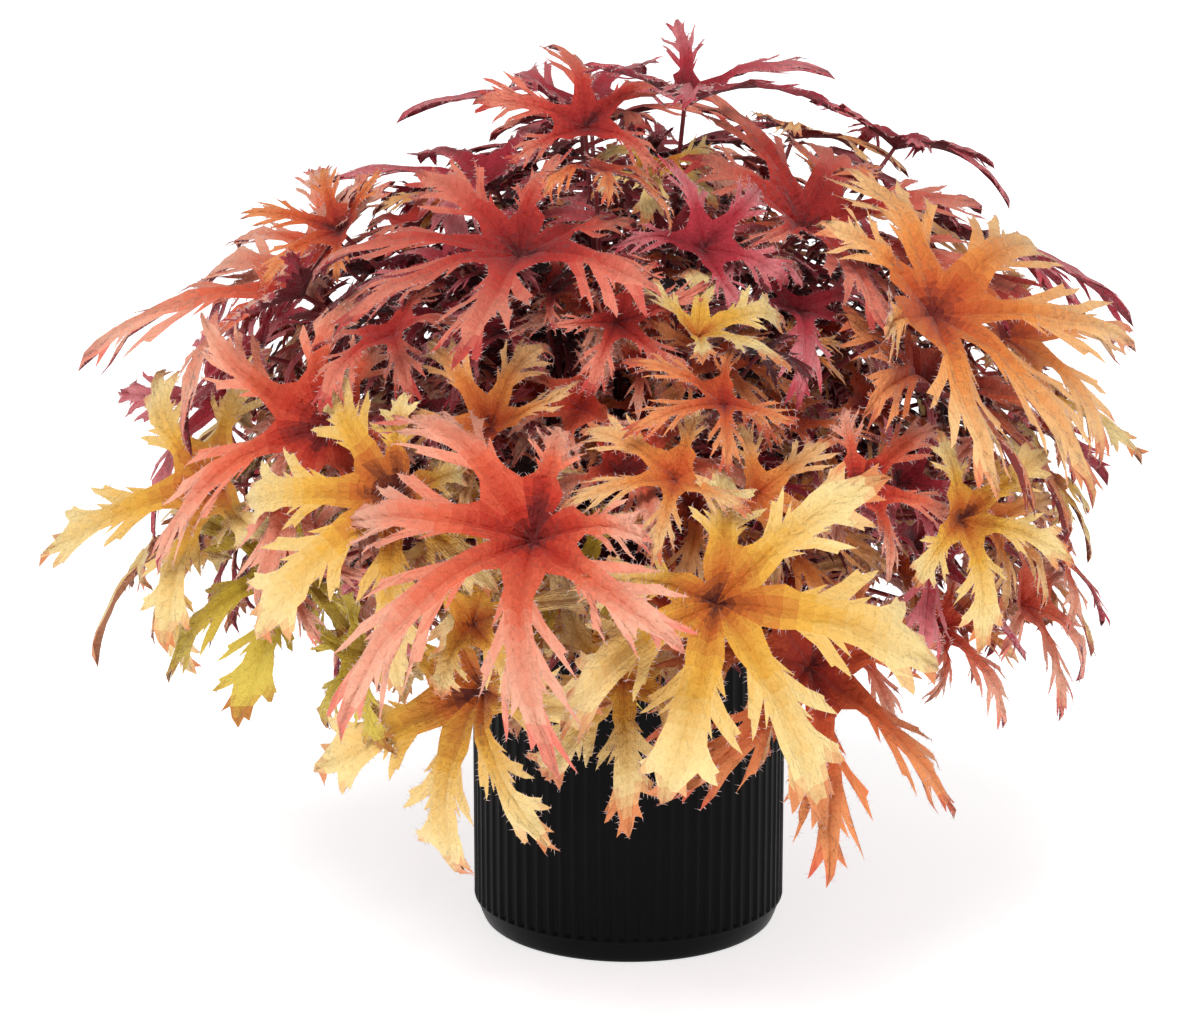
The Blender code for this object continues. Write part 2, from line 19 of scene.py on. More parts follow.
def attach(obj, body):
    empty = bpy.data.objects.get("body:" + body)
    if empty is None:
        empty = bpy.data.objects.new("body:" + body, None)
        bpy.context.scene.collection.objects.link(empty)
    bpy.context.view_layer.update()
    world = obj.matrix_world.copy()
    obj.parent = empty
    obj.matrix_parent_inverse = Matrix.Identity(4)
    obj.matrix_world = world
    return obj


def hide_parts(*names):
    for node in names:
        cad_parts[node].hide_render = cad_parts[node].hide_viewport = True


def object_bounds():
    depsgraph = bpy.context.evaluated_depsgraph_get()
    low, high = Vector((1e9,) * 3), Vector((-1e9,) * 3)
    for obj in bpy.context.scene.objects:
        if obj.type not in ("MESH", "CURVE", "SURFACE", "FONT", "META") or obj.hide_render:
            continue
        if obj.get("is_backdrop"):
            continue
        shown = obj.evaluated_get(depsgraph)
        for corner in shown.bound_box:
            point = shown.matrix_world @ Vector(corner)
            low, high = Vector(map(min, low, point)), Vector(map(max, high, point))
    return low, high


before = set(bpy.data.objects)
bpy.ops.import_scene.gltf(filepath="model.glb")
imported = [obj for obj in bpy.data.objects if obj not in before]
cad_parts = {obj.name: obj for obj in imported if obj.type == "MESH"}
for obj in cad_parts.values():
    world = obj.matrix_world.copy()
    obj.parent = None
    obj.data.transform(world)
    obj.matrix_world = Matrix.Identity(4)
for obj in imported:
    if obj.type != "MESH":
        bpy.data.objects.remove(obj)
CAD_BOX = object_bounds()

bl_info = {
    "name": "Potted coral bells",
    "version": (1, 0, 0),
    "blender": (4, 5, 0),
    "location": "3D view > Sidebar > Coral bells",
    "description": "Leaves, hairs, stems, rootstock, mix and fluted pot over the packed solids",
    "category": "Object",
}

UP = Vector((0.0, 0.0, 1.0))
# A way that no petiole runs along.
ASKEW = Vector((0.31, 0.17, 0.93))
# How near two places count as one, in metres or in shares of a lobe's length.
CLOSE = 1e-4

# Pot
POT_RADIUS = 0.065
POT_HEIGHT = 0.1405
POT_WALL = 0.0018
RIM_RADIUS = POT_RADIUS + 0.0003
RIB_COUNT = 72
RIB_COLUMNS = 8
RIB_DEPTH = 0.0008
GAP = 0.0003

# Potting mix and rootstock
SOIL_LEVEL = 0.128
ROOT_FOOT = SOIL_LEVEL + GAP
ROOT_TOP = 0.166
ROOT_FOOT_RADIUS = 0.0145
ROOT_TOP_RADIUS = 0.0105

# Crown
CROWN_MIDDLE = Vector((0.0, 0.0, 0.15))
FRONT = Vector((0.0, -1.0, 0.25))
LEADING_UPWARD = 0.38
FILLING_UPWARD = 0.62
STEM_RADIUS = 0.0030
STEM_TIP_RADIUS = 0.0026
STEM_LENGTH = 0.015
PETIOLE_RADIUS = 0.0013
PETIOLE_TIP_RADIUS = 0.0009
PETIOLE_POINTS = 4
PETIOLE_RISE = 0.18
PETIOLE_STARTS = (0.45, 0.95)
PETIOLE_END = 0.045
PETIOLE_SIDE = 158

# Leaves, as shares of a leaf's length
LARGE_LOBES = (
    (-142, 0.50), (-97, 0.78), (-48, 0.93), (0, 1.0), (48, 0.93), (97, 0.78), (142, 0.50),
)
SMALL_LOBES = ((-118, 0.66), (-58, 0.90), (0, 1.0), (58, 0.90), (118, 0.66))
LARGE_LEAF = 0.088
SINUS_REACH = 0.30
BASE_NOTCH = 0.10
LOBE_BELLY = 0.64
LOBE_WIDTH = 0.125
CHANNEL = 0.018

# How leaves vary: tilt, turn, cup and curl of a blade, and turn and length of its lobes.
TILT = 0.03
TURN = 1.0
CUPS = (0.42, 0.70)
CURLS = (1.05, 1.60)
WAVES = 3
WAVE_SIZE = 0.30
LOBE_TURN = 5
LOBE_SHARES = (0.88, 1.06)
FILLING_TURN = 32

# What each easing adds to a leaf that met another: it is smaller, further off and more askew.
EASE_SHRINK = 0.014
EASE_SHIFT = 0.0008
EASE_TILT = 0.007
EASE_TURN = 0.8

# Room kept round a leaf while it is placed
LEAF_MARGIN = 1.03
LEAF_ROOM = 0.022
PETIOLE_ROOM = 0.0022
POT_ROOM = 0.0030
LOWEST_LEAF = 0.020
LOWEST_FILLING = 0.080
LOWEST_FRONT = 0.115
LOWEST_BACK = 0.090
EASES = 30
EASE_STEP = 5
FILLING_TRIES = 52
HUB_CHOICES = 14
SECTOR_SHARE = 0.92
WIDE_SECTOR_SHARE = 0.98
INNER_SHRINK = 0.42
SEED = 57

# Tier: name, masses, azimuth of the first, stem height, stem slope, height angles and reach of its
# leaves' hubs, leaf length, leaves in a mass.
TIERS = (
    ("low", 7, 0, 0.1400, 24, (0, 25), (0.100, 0.186), (0.072, 0.104), 8),
    ("middle", 5, 36, 0.1530, 54, (25, 60), (0.085, 0.190), (0.070, 0.104), 9),
    ("top", 2, 90, ROOT_TOP, 80, (60, 88), (0.085, 0.190), (0.062, 0.092), 10),
)

# Leading leaves: azimuth, height angle, reach of the hub in mm, turn of the middle lobe from
# downhill, leaf length in mm, lean of the blade to the front, tint.
LEADING_LEAVES = (
    (10, 11, 180, 40, 112, 1.0, "gold"),
    (-12, 18, 185, -43, 112, -0.3, "coral"),
    (-22, 33, 167, -136, 56, 0.7, "amber"),
    (-2, 29, 152, 75, 72, -0.5, "coral"),
    (-33, 22, 167, -32, 101, 0.6, "gold"),
    (51, 34, 170, -5, 92, -0.4, "rust"),
    (49, 40, 197, 69, 112, 0.2, "amber"),
    (-52, 29, 168, -64, 89, 1.5, "coral"),
    (-52, 50, 150, 34, 53, -0.2, "rose"),
    (46, 14, 153, 8, 71, -0.2, "rose"),
    (-77, 42, 180, -40, 106, 0.1, "coral"),
    (-72, 16, 178, -55, 87, 0.9, "gold"),
    (-20, 75, 198, -172, 56, 1.5, "brick"),
    (35, 79, 198, 33, 80, -0.1, "rose"),
    (-82, 71, 169, -40, 72, 0.2, "rose"),
    (53, 61, 173, 80, 130, 0.1, "brick"),
    (102, 62, 167, 114, 47, 1.6, "rust"),
    (16, 57, 181, 133, 51, 1.6, "rose"),
    (-3, 48, 172, 42, 46, 1.0, "brick"),
    (11, 44, 179, 99, 49, -0.3, "gold"),
    (-103, 45, 177, -85, 72, 1.0, "coral"),
    (-73, 51, 186, -108, 58, 1.5, "rust"),
    (43, 17, 187, 63, 59, 1.4, "gold"),
    (-20, -2, 158, 0, 106, -0.3, "gold"),
    (-93, 23, 181, -71, 82, 0.9, "rose"),
    (14, 76, 187, -6, 47, 0.7, "gold"),
    (29, 59, 169, -50, 48, -0.4, "rose"),
    (83, 34, 173, 60, 106, 0.5, "amber"),
    (-60, 8, 150, -48, 79, 0.7, "olive"),
    (28, 35, 150, 49, 46, -0.4, "rust"),
    (-39, 0, 156, -31, 54, -0.2, "olive"),
    (-51, 57, 163, -60, 60, -0.3, "rose"),
    (86, 14, 161, 53, 46, 0.0, "gold"),
    (-105, 63, 174, -152, 58, 1.1, "amber"),
)

# Tints that a tier's filling leaves take, for the left half and the right half of the crown.
TIER_TINTS = {
    "low": (("gold", "olive", "coral", "gold"), ("gold", "amber", "rust", "coral")),
    "middle": (("coral", "rose", "brick", "rose"), ("rust", "amber", "coral", "rose")),
    "top": (("rose", "brick", "rust", "wine"), ("brick", "rose", "wine", "coral")),
}


def direction(azimuth, height):
    """The way out from the crown's middle. Azimuth 0 is the front, 90 is +X; height is upward."""
    around, above = math.radians(azimuth), math.radians(height)
    return Vector((
        math.sin(around) * math.cos(above),
        -math.cos(around) * math.cos(above),
        math.sin(above),
    ))


# ---------------------------------------------------------------------------------------------
# The growth rule


def root_radius(height):
    """The rootstock's radius at a height: it tapers from its foot to its top."""
    share = (height - ROOT_FOOT) / (ROOT_TOP - ROOT_FOOT)
    return ROOT_FOOT_RADIUS + (ROOT_TOP_RADIUS - ROOT_FOOT_RADIUS) * share


class Mass:
    """A stem on the rootstock and the leaves that it carries."""

    def __init__(self, tier, number):
        name, count, first, stem_height, slope, heights, reaches, lengths, leaves = tier
        self.tier = name
        self.name = f"foliage_{name}_{number + 1}"
        self.azimuth = first + 360.0 * number / count
        self.half_sector = 180.0 / count
        self.heights = heights
        self.reaches = reaches
        self.lengths = lengths
        self.wanted = leaves
        self.way = direction(self.azimuth, slope)
        self.foot = self.foot_of_stem(stem_height, math.radians(slope))
        self.tip = self.foot + self.way * STEM_LENGTH
        self.leaves = []

    def foot_of_stem(self, height, slope):
        """Where the stem starts: its foot's nearest edge is the gap away from the rootstock."""
        outward = direction(self.azimuth, 0)
        if height < ROOT_TOP:
            upper_edge = height + STEM_RADIUS * math.cos(slope)
            radius = root_radius(upper_edge) + GAP + STEM_RADIUS * math.sin(slope)
            return outward * radius + UP * height
        lift = GAP + STEM_RADIUS * math.cos(slope)
        return outward * (ROOT_TOP_RADIUS * 0.5) + UP * (height + lift)

    def holds(self, azimuth, height):
        """Whether a leaf at these angles grows from this stem."""
        lowest, highest = self.heights
        if self.tier == "low":
            lowest = -90
        elif self.tier == "top":
            highest = 91
        turn = (azimuth - self.azimuth + 180) % 360 - 180
        return lowest <= height < highest and -self.half_sector <= turn < self.half_sector

    def tint_at(self, azimuth, chance):
        """One of the tier's tints for the left or the right half of the crown."""
        right_half = math.sin(math.radians(azimuth)) > 0
        return chance.choice(TIER_TINTS[self.tier][right_half])


class Leaf:
    """A palmate blade, bent over its hub, with its petiole from the mass's stem.

    Its place is its hub's azimuth, height angle and reach. Its depth is 0 near the crown's surface
    and nears 1 deep inside. Each ease changes it a little more.
    """

    def __init__(self, mass, place, turn, length, tint, facing, chance, ease, depth=0.0):
        self.mass = mass
        self.tint = tint
        self.depth = depth
        self.length = length * (1.0 - EASE_SHRINK * ease)
        azimuth, height, reach = place
        outward = direction(azimuth, height)
        self.hub = CROWN_MIDDLE + outward * (reach + chance.uniform(-EASE_SHIFT, EASE_SHIFT) * ease)
        wobble = TILT + EASE_TILT * ease
        tilt = Vector([chance.gauss(0, wobble) for _ in range(3)])
        self.normal = (outward + facing + tilt).normalized()
        downhill = (self.normal * self.normal.z - UP).normalized()
        across = self.normal.cross(downhill)
        turned_by = math.radians(turn + chance.gauss(0, TURN + EASE_TURN * ease))
        self.axis = downhill * math.cos(turned_by) + across * math.sin(turned_by)
        self.side = self.normal.cross(self.axis)
        self.cup = chance.uniform(*CUPS)
        self.curl = chance.uniform(*CURLS)
        self.waves = [
            (chance.uniform(0.0, WAVE_SIZE), chance.uniform(0, math.tau)) for _ in range(WAVES)
        ]
        lobes = LARGE_LOBES if length > LARGE_LEAF else SMALL_LOBES
        self.lobes = [
            (
                math.radians(angle + chance.uniform(-LOBE_TURN, LOBE_TURN)),
                share * chance.uniform(*LOBE_SHARES),
            )
            for angle, share in lobes
        ]
        self.start = mass.foot + mass.way * STEM_LENGTH * chance.uniform(*PETIOLE_STARTS)
        self.end = self.point(math.radians(PETIOLE_SIDE), PETIOLE_END)

    def curl_at(self, angle):
        """How far a lobe at this angle bends over, in radians from hub to tip."""
        waves = enumerate(self.waves, 1)
        wave = sum(size * math.cos(count * angle + shift) for count, (size, shift) in waves)
        return self.curl + wave

    def point(self, angle, share, lift=0.0):
        """A place on the blade at this angle, a share of the length out from the hub."""
        curl = self.curl_at(angle)
        bend = self.cup - curl * share
        heading = self.axis * math.cos(angle) + self.side * math.sin(angle)
        outward = (math.sin(self.cup) - math.sin(bend)) / curl
        upward = (math.cos(bend) - math.cos(self.cup)) / curl
        facing = self.normal * math.cos(bend) - heading * math.sin(bend)
        return self.hub + (heading * outward + self.normal * upward + facing * lift) * self.length

    def lobe_point(self, angle, along, across, lift=0.0):
        """A place on a lobe, along and across its middle line."""
        return self.point(angle + math.atan2(across, along), math.hypot(along, across), lift)

    def petiole(self, count=PETIOLE_POINTS, end=None):
        """Points along the petiole, which rises from the stem and bends over to its end."""
        way = self.end - self.start
        rise = math.hypot(way.x, way.y) * PETIOLE_RISE
        crest = self.start + way * 0.5 + UP * rise
        end = self.end if end is None else end
        shares = [step / (count - 1) for step in range(count)]
        return [
            self.start * (1 - share) ** 2 + crest * 2 * share * (1 - share) + end * share ** 2
            for share in shares
        ]


def blade_faces(leaf, half):
    """The blade as a closed lens, of half a thickness: fans from the hub to each lobe."""
    points = [leaf.point(0.0, 0.0, half), leaf.point(0.0, 0.0, -half)]
    points.append(leaf.point(math.pi, BASE_NOTCH * LEAF_MARGIN))
    notch = before = 2
    faces = []
    for place, (angle, share) in enumerate(leaf.lobes):
        reach = share * LEAF_MARGIN
        width = LOBE_WIDTH * share * LEAF_MARGIN
        belly = LOBE_BELLY * reach
        right, tip, left, over, under = range(len(points), len(points) + 5)
        points += [
            leaf.lobe_point(angle, belly, -width, CHANNEL),
            leaf.lobe_point(angle, reach, 0.0),
            leaf.lobe_point(angle, belly, width, CHANNEL),
            leaf.lobe_point(angle, belly, 0.0, half),
            leaf.lobe_point(angle, belly, 0.0, -half),
        ]
        after = notch
        if place + 1 < len(leaf.lobes):
            after = len(points)
            between = 0.5 * (angle + leaf.lobes[place + 1][0])
            points.append(leaf.point(between, SINUS_REACH * LEAF_MARGIN))
        for middle, ridge, winding in ((0, over, 1), (1, under, -1)):
            fan = (
                (middle, before, ridge), (before, right, ridge), (ridge, right, tip),
                (ridge, tip, left), (ridge, left, after), (middle, ridge, after),
            )
            faces += [corners[::winding] for corners in fan]
        before = after
    return points, faces


def tube_faces(path, radius):
    """A three-sided tube round a path, open at its ends."""
    points = []
    faces = []
    for place, middle in enumerate(path):
        ahead = path[min(place + 1, len(path) - 1)] - path[max(place - 1, 0)]
        across = ahead.cross(ASKEW).normalized()
        up = across.cross(ahead).normalized()
        for corner in range(3):
            angle = math.tau * corner / 3
            points.append(middle + (across * math.cos(angle) + up * math.sin(angle)) * radius)
        if place:
            ring = 3 * place
            for here, there in ((0, 1), (1, 2), (2, 0)):
                faces.append((ring - 3 + here, ring - 3 + there, ring + there, ring + here))
    return points, faces


def round_room(radius, lowest, highest, sides=24):
    """The room that a round body takes, closed over its top."""
    points = [UP * highest]
    for height in (lowest, highest):
        for step in range(sides):
            angle = math.tau * step / sides
            points.append(Vector((radius * math.cos(angle), radius * math.sin(angle), height)))
    faces = []
    for step in range(sides):
        here, there = 1 + step, 1 + (step + 1) % sides
        faces.append((here, there, there + sides, here + sides))
        faces.append((0, here + sides, there + sides))
    return BVHTree.FromPolygons(points, faces)


class Room:
    """The space that a placed leaf takes: its blade and its petiole, each with some room."""

    def __init__(self, leaf, room=LEAF_ROOM):
        self.leaf = leaf
        points, faces = blade_faces(leaf, room)
        self.lowest = min(point.z for point in points)
        self.blade = BVHTree.FromPolygons(points, faces)
        self.petiole = BVHTree.FromPolygons(*tube_faces(leaf.petiole(), PETIOLE_ROOM))

    def meets(self, other):
        """Whether the two leaves touch. The petioles of one mass may."""
        if self.covers(other) or self.blade.overlap(other.petiole):
            return True
        if self.petiole.overlap(other.blade):
            return True
        return self.leaf.mass is not other.leaf.mass and bool(self.petiole.overlap(other.petiole))

    def covers(self, other):
        """Whether the two blades touch."""
        near = (self.leaf.length + other.leaf.length) * LEAF_MARGIN
        apart = (self.leaf.hub - other.leaf.hub).length
        return apart < near and bool(self.blade.overlap(other.blade))


class Crown:
    """All the masses, and the rooms of their leaves as they are placed."""

    def __init__(self):
        self.masses = [Mass(tier, number) for tier in TIERS for number in range(tier[1])]
        self.rooms = []
        self.pot = round_room(RIM_RADIUS + POT_ROOM, 0.0, POT_HEIGHT + POT_ROOM)
        self.root = round_room(ROOT_FOOT_RADIUS + STEM_LENGTH, POT_HEIGHT, ROOT_TOP + STEM_LENGTH)

    def mass_at(self, azimuth, height):
        """The mass that a leaf at these angles grows from."""
        return next(mass for mass in self.masses if mass.holds(azimuth, height))

    def fits(self, room, lowest):
        """Whether a leaf keeps clear of the pot, the rootstock and the other leaves."""
        if room.lowest < lowest or room.blade.overlap(self.pot) or room.petiole.overlap(self.pot):
            return False
        if room.blade.overlap(self.root):
            return False
        return not any(room.meets(other) for other in self.rooms)

    def take(self, room):
        """Adds a leaf to the crown and to its mass."""
        self.rooms.append(room)
        room.leaf.mass.leaves.append(room.leaf)
        return True

    def place(self, leaf, lowest=LOWEST_LEAF):
        """Places a leaf if it meets nothing, and says whether it did."""
        room = Room(leaf)
        return self.fits(room, lowest) and self.take(room)

    def squeeze_in(self, leaf, thickness):
        """Places a small leaf between the petioles if its thinner blade meets no other blade."""
        room = Room(leaf, thickness)
        lowest = LOWEST_FRONT if leaf.hub.y < 0.0 else LOWEST_BACK
        if room.lowest < lowest or room.blade.overlap(self.pot) or room.blade.overlap(self.root):
            return False
        return not any(room.covers(other) for other in self.rooms) and self.take(room)

    def place_leading(self):
        """The listed leaves. One that meets another is eased until it doesn't."""
        for number, row in enumerate(LEADING_LEAVES):
            azimuth, height, reach, turn, length, lean, tint = row
            chance = random.Random(SEED * 1000 + number)
            mass = self.mass_at(azimuth, height)
            facing = UP * LEADING_UPWARD + FRONT * lean
            place = azimuth, height, reach / 1000
            for ease in range(EASES):
                leaf = Leaf(mass, place, turn, length / 1000, tint, facing, chance, ease)
                if self.place(leaf):
                    break

    def emptiest(self, mass, chance, share, lowest, draw_reach):
        """Of some places in a share of the mass's sector, the one furthest from every hub."""
        best = None
        for _ in range(HUB_CHOICES):
            azimuth = mass.azimuth + chance.uniform(-share, share) * mass.half_sector
            height = chance.uniform(lowest, mass.heights[1])
            reach = draw_reach()
            hub = CROWN_MIDDLE + direction(azimuth, height) * reach
            nearest = min((room.leaf.hub - hub).length for room in self.rooms)
            if best is None or nearest > best[0]:
                best = (nearest, azimuth, height, reach)
        return best[1:]

    def fill(self, mass, number):
        """Leaves placed by the rule, until the mass has as many as its tier wants."""
        chance = random.Random(SEED * 2000 + number)
        nearest, furthest = mass.reaches

        def draw_reach():
            return chance.triangular(nearest, furthest, furthest)

        for _ in range(FILLING_TRIES):
            if len(mass.leaves) >= mass.wanted:
                break
            place = self.emptiest(mass, chance, SECTOR_SHARE, mass.heights[0], draw_reach)
            azimuth, _, reach = place
            turn = chance.gauss(0, FILLING_TURN)
            inward = (furthest - reach) / (furthest - nearest)
            length = chance.uniform(*mass.lengths) * (1.0 - INNER_SHRINK * inward)
            tint = mass.tint_at(azimuth, chance)
            facing = UP * FILLING_UPWARD
            for ease in range(0, EASES, EASE_STEP):
                leaf = Leaf(mass, place, turn, length, tint, facing, chance, ease)
                if self.place(leaf, LOWEST_FILLING):
                    break


def grow():
    """The whole crown, leading leaves first."""
    crown = Crown()
    crown.place_leading()
    for number, mass in enumerate(crown.masses):
        crown.fill(mass, number)
    return crown


# ---------------------------------------------------------------------------------------------
# Colours


def tone(red, green, blue):
    """A display colour of 0 to 255 as the linear colour that a shader takes."""
    shares = (channel / 255.0 for channel in (red, green, blue))
    return tuple(s / 12.92 if s <= 0.04045 else ((s + 0.055) / 1.055) ** 2.4 for s in shares)


# A leaf's colours from its heart to its tips, and those of its underside.
TINT_PLACES = (0.0, 0.12, 0.36, 0.82, 1.0)
TINTS = {
    "gold": ((92, 22, 8), (202, 102, 26), (240, 178, 62), (254, 225, 156), (226, 122, 68)),
    # olive: a darker, greener copy of gold, partly the leaves' own hue and partly painted shade on
    # low leaves.
    "olive": ((84, 44, 10), (150, 112, 20), (200, 166, 36), (230, 202, 84), (188, 108, 46)),
    "amber": ((120, 24, 10), (204, 82, 26), (240, 142, 62), (254, 202, 138), (226, 110, 72)),
    "rust": ((96, 10, 8), (172, 42, 18), (218, 90, 38), (244, 154, 94), (208, 80, 56)),
    "coral": ((112, 8, 6), (198, 46, 20), (238, 106, 70), (254, 184, 154), (238, 114, 96)),
    "rose": ((74, 2, 12), (140, 10, 28), (184, 38, 54), (228, 130, 134), (194, 48, 66)),
    "brick": ((90, 4, 6), (160, 20, 16), (204, 54, 40), (238, 138, 112), (198, 50, 48)),
    "wine": ((46, 1, 6), (92, 4, 12), (138, 16, 28), (194, 78, 82), (160, 28, 42)),
    # dusk: near-black crimson for leaves deep in the crown, painted shade for its dark inside.
    "dusk": ((30, 1, 4), (50, 2, 7), (78, 6, 12), (108, 18, 26), (94, 10, 18)),
}
UNDERSIDES = {
    "gold": ((150, 64, 34), (200, 124, 76)),
    # The underside of olive, darker as painted shade.
    "olive": ((124, 76, 28), (172, 122, 54)),
    "amber": ((156, 40, 36), (206, 104, 82)),
    "rust": ((138, 18, 26), (194, 70, 66)),
    "coral": ((150, 10, 34), (208, 74, 90)),
    "rose": ((130, 4, 30), (196, 48, 76)),
    "brick": ((134, 6, 24), (186, 46, 66)),
    "wine": ((92, 2, 16), (148, 20, 44)),
    # The underside of the dusk tint, painted shade as well.
    "dusk": ((62, 2, 10), (100, 8, 22)),
}
# Steps of colour from heart to tips, and how much closer they lie at the heart.
ZONES = 28
ZONE_SPREAD = 1.35
UNDERSIDE_BORDER = 0.45


def colour_setting(label, value):
    """A colour property with its default."""
    return bpy.props.FloatVectorProperty(
        name=label, description=f"{label}, linear", default=value, subtype="COLOR", min=0.0, max=1.0
    )


def length_setting(label, value):
    """A length property in metres."""
    return bpy.props.FloatProperty(
        name=label, description=f"{label}, in metres", default=value, min=0.0, precision=4,
        unit="LENGTH",
    )


def number_setting(label, value, most=1.0):
    """A plain number property."""
    return bpy.props.FloatProperty(
        name=label, description=label, default=value, min=0.0, max=most
    )


# ---------------------------------------------------------------------------------------------
# Modelling by hand


def add(primitive, name, **sizes):
    """Adds a primitive that is alone in the selection, and names it."""
    bpy.ops.object.select_all(action="DESELECT")
    primitive(**sizes)
    piece = bpy.context.object
    piece.name = piece.data.name = name
    return piece


class Editing:
    """Edit mode on one piece, for the length of a with block."""

    def __init__(self, piece):
        self.piece = piece

    def __enter__(self):
        bpy.context.view_layer.objects.active = self.piece
        bpy.ops.object.mode_set(mode="EDIT")
        return self

    def __exit__(self, *problem):
        bpy.ops.object.mode_set(mode="OBJECT")

    def choose(self, kind, test):
        """Selects the corners, edges or faces whose corners all pass the test."""
        bpy.ops.mesh.select_mode(type=kind)
        bpy.ops.mesh.select_all(action="DESELECT")
        shape = bmesh.from_edit_mesh(self.piece.data)
        for part in {"VERT": shape.verts, "EDGE": shape.edges, "FACE": shape.faces}[kind]:
            corners = [part] if kind == "VERT" else part.verts
            if all(test(corner.co) for corner in corners):
                part.select_set(True)
        shape.select_flush_mode()
        bmesh.update_edit_mesh(self.piece.data)

    def middle(self):
        """The middle of what is selected."""
        shape = bmesh.from_edit_mesh(self.piece.data)
        corners = [corner.co for corner in shape.verts if corner.select]
        return sum(corners, Vector()) / len(corners)

    def put_in_order(self):
        """Lists the faces by their corners, because extruding leaves them in any order."""
        shape = bmesh.from_edit_mesh(self.piece.data)
        shape.verts.index_update()
        count = len(shape.verts)

        def rank(face):
            first, second, third = sorted(corner.index for corner in face.verts)[:3]
            return (first * count + second) * count + third

        shape.faces.sort(key=rank)
        bmesh.update_edit_mesh(self.piece.data)

    def draw_out(self, step, size):
        """Extrudes the selection by a step. The new edge is scaled, or closed if size is 0."""
        bpy.ops.mesh.extrude_region_move(TRANSFORM_OT_translate={"value": tuple(step)})
        if size == 0.0:
            bpy.ops.mesh.merge(type="COLLAPSE")
        else:
            bpy.ops.transform.resize(value=(size, size, size), center_override=self.middle())

    def stretch(self, x, y):
        """Scales the selection about the upright axis."""
        bpy.ops.transform.resize(value=(x, y, 1.0), center_override=(0.0, 0.0, 0.0))


def turned(name, columns, profile):
    """A round body through rings of a radius and a height, closed over its first and last."""
    radius, height = profile[0]
    piece = add(
        bpy.ops.mesh.primitive_circle_add, name, vertices=columns, radius=radius,
        fill_type="TRIFAN", location=(0.0, 0.0, height),
    )
    bpy.ops.object.transform_apply(location=True)
    with Editing(piece) as hand:
        hand.choose("EDGE", lambda place: place.xy.length > 0.9 * radius)
        for (before, level), (radius_now, height_now) in zip(profile, profile[1:]):
            rise = (0.0, 0.0, height_now - level)
            bpy.ops.mesh.extrude_region_move(TRANSFORM_OT_translate={"value": rise})
            growth = radius_now / before
            hand.stretch(growth, growth)
        bpy.ops.mesh.extrude_region_move()
        bpy.ops.mesh.merge(type="CENTER")
        bpy.ops.mesh.select_all(action="SELECT")
        bpy.ops.mesh.normals_make_consistent(inside=False)
        hand.put_in_order()
    return piece


def points_of(mesh):
    """The mesh's corners as an array."""
    places = np.empty(len(mesh.vertices) * 3)
    mesh.vertices.foreach_get("co", places)
    return places.reshape(-1, 3)


def triangles_of(mesh):
    """The mesh's triangles as an array of corners."""
    mesh.calc_loop_triangles()
    corners = np.empty(len(mesh.loop_triangles) * 3, np.int32)
    mesh.loop_triangles.foreach_get("vertices", corners)
    return corners.reshape(-1, 3)


def discard(piece):
    """Removes a model that was only copied from."""
    mesh = piece.data
    bpy.data.objects.remove(piece, do_unlink=True)
    bpy.data.meshes.remove(mesh)


def joined_piece(name, points, triangles, slots, creases):
    """One piece from arrays of corners, triangles, their slots and the edges that stay sharp."""
    mesh = bpy.data.meshes.new(name)
    mesh.vertices.add(len(points))
    mesh.vertices.foreach_set("co", np.ascontiguousarray(points, np.float32).ravel())
    mesh.loops.add(triangles.size)
    mesh.loops.foreach_set("vertex_index", np.ascontiguousarray(triangles, np.int32).ravel())
    mesh.polygons.add(len(triangles))
    mesh.polygons.foreach_set("loop_start", np.arange(0, triangles.size, 3, dtype=np.int32))
    mesh.polygons.foreach_set("material_index", np.ascontiguousarray(slots, np.int32))
    mesh.update(calc_edges=True)
    if creases is not None:
        mesh.shade_smooth()
        edges = np.empty(len(mesh.edges) * 2, np.int32)
        mesh.edges.foreach_get("vertices", edges)
        is_crease = np.isin(edge_codes(edges.reshape(-1, 2)), edge_codes(creases))
        mesh.attributes.new("sharp_edge", "BOOLEAN", "EDGE").data.foreach_set("value", is_crease)
    piece = bpy.data.objects.new(name, mesh)
    bpy.context.scene.collection.objects.link(piece)
    return piece


def edge_codes(edges):
    """One number for each pair of corners, whichever comes first."""
    ordered = np.sort(np.asarray(edges, np.int64), 1)
    return ordered[:, 0] * (1 << 32) + ordered[:, 1]


class Heap:
    """Corners and triangles of many copies, kept together until they are one piece."""

    def __init__(self):
        self.points = []
        self.triangles = []
        self.slots = []
        self.creases = []
        self.veins = []
        self.count = 0
        self.faces = 0

    def put(self, points, triangles, slots=None, creases=None, veins=None):
        """Adds a copy, with its sharp edges and its places on the vein map where it has any."""
        self.points.append(points)
        self.triangles.append(triangles + self.count)
        self.slots.append(np.zeros(len(triangles), np.int32) if slots is None else slots)
        if creases is not None:
            self.creases.append(creases + self.count)
        if veins is not None:
            self.veins.append(veins)
        self.count += len(points)
        self.faces += len(triangles)

    def piece(self, name):
        """The copies as one piece, smooth between its sharp edges if it has any."""
        arrays = (np.concatenate(part) for part in (self.points, self.triangles, self.slots))
        creases = np.concatenate(self.creases) if self.creases else None
        piece = joined_piece(name, *arrays, creases)
        if self.veins:
            vein_map = piece.data.uv_layers.new(name="veins")
            places = np.concatenate(self.veins)[np.concatenate(self.triangles).ravel()]
            vein_map.uv.foreach_set("vector", np.ascontiguousarray(places, np.float32).ravel())
        return piece


# ---------------------------------------------------------------------------------------------
# Materials


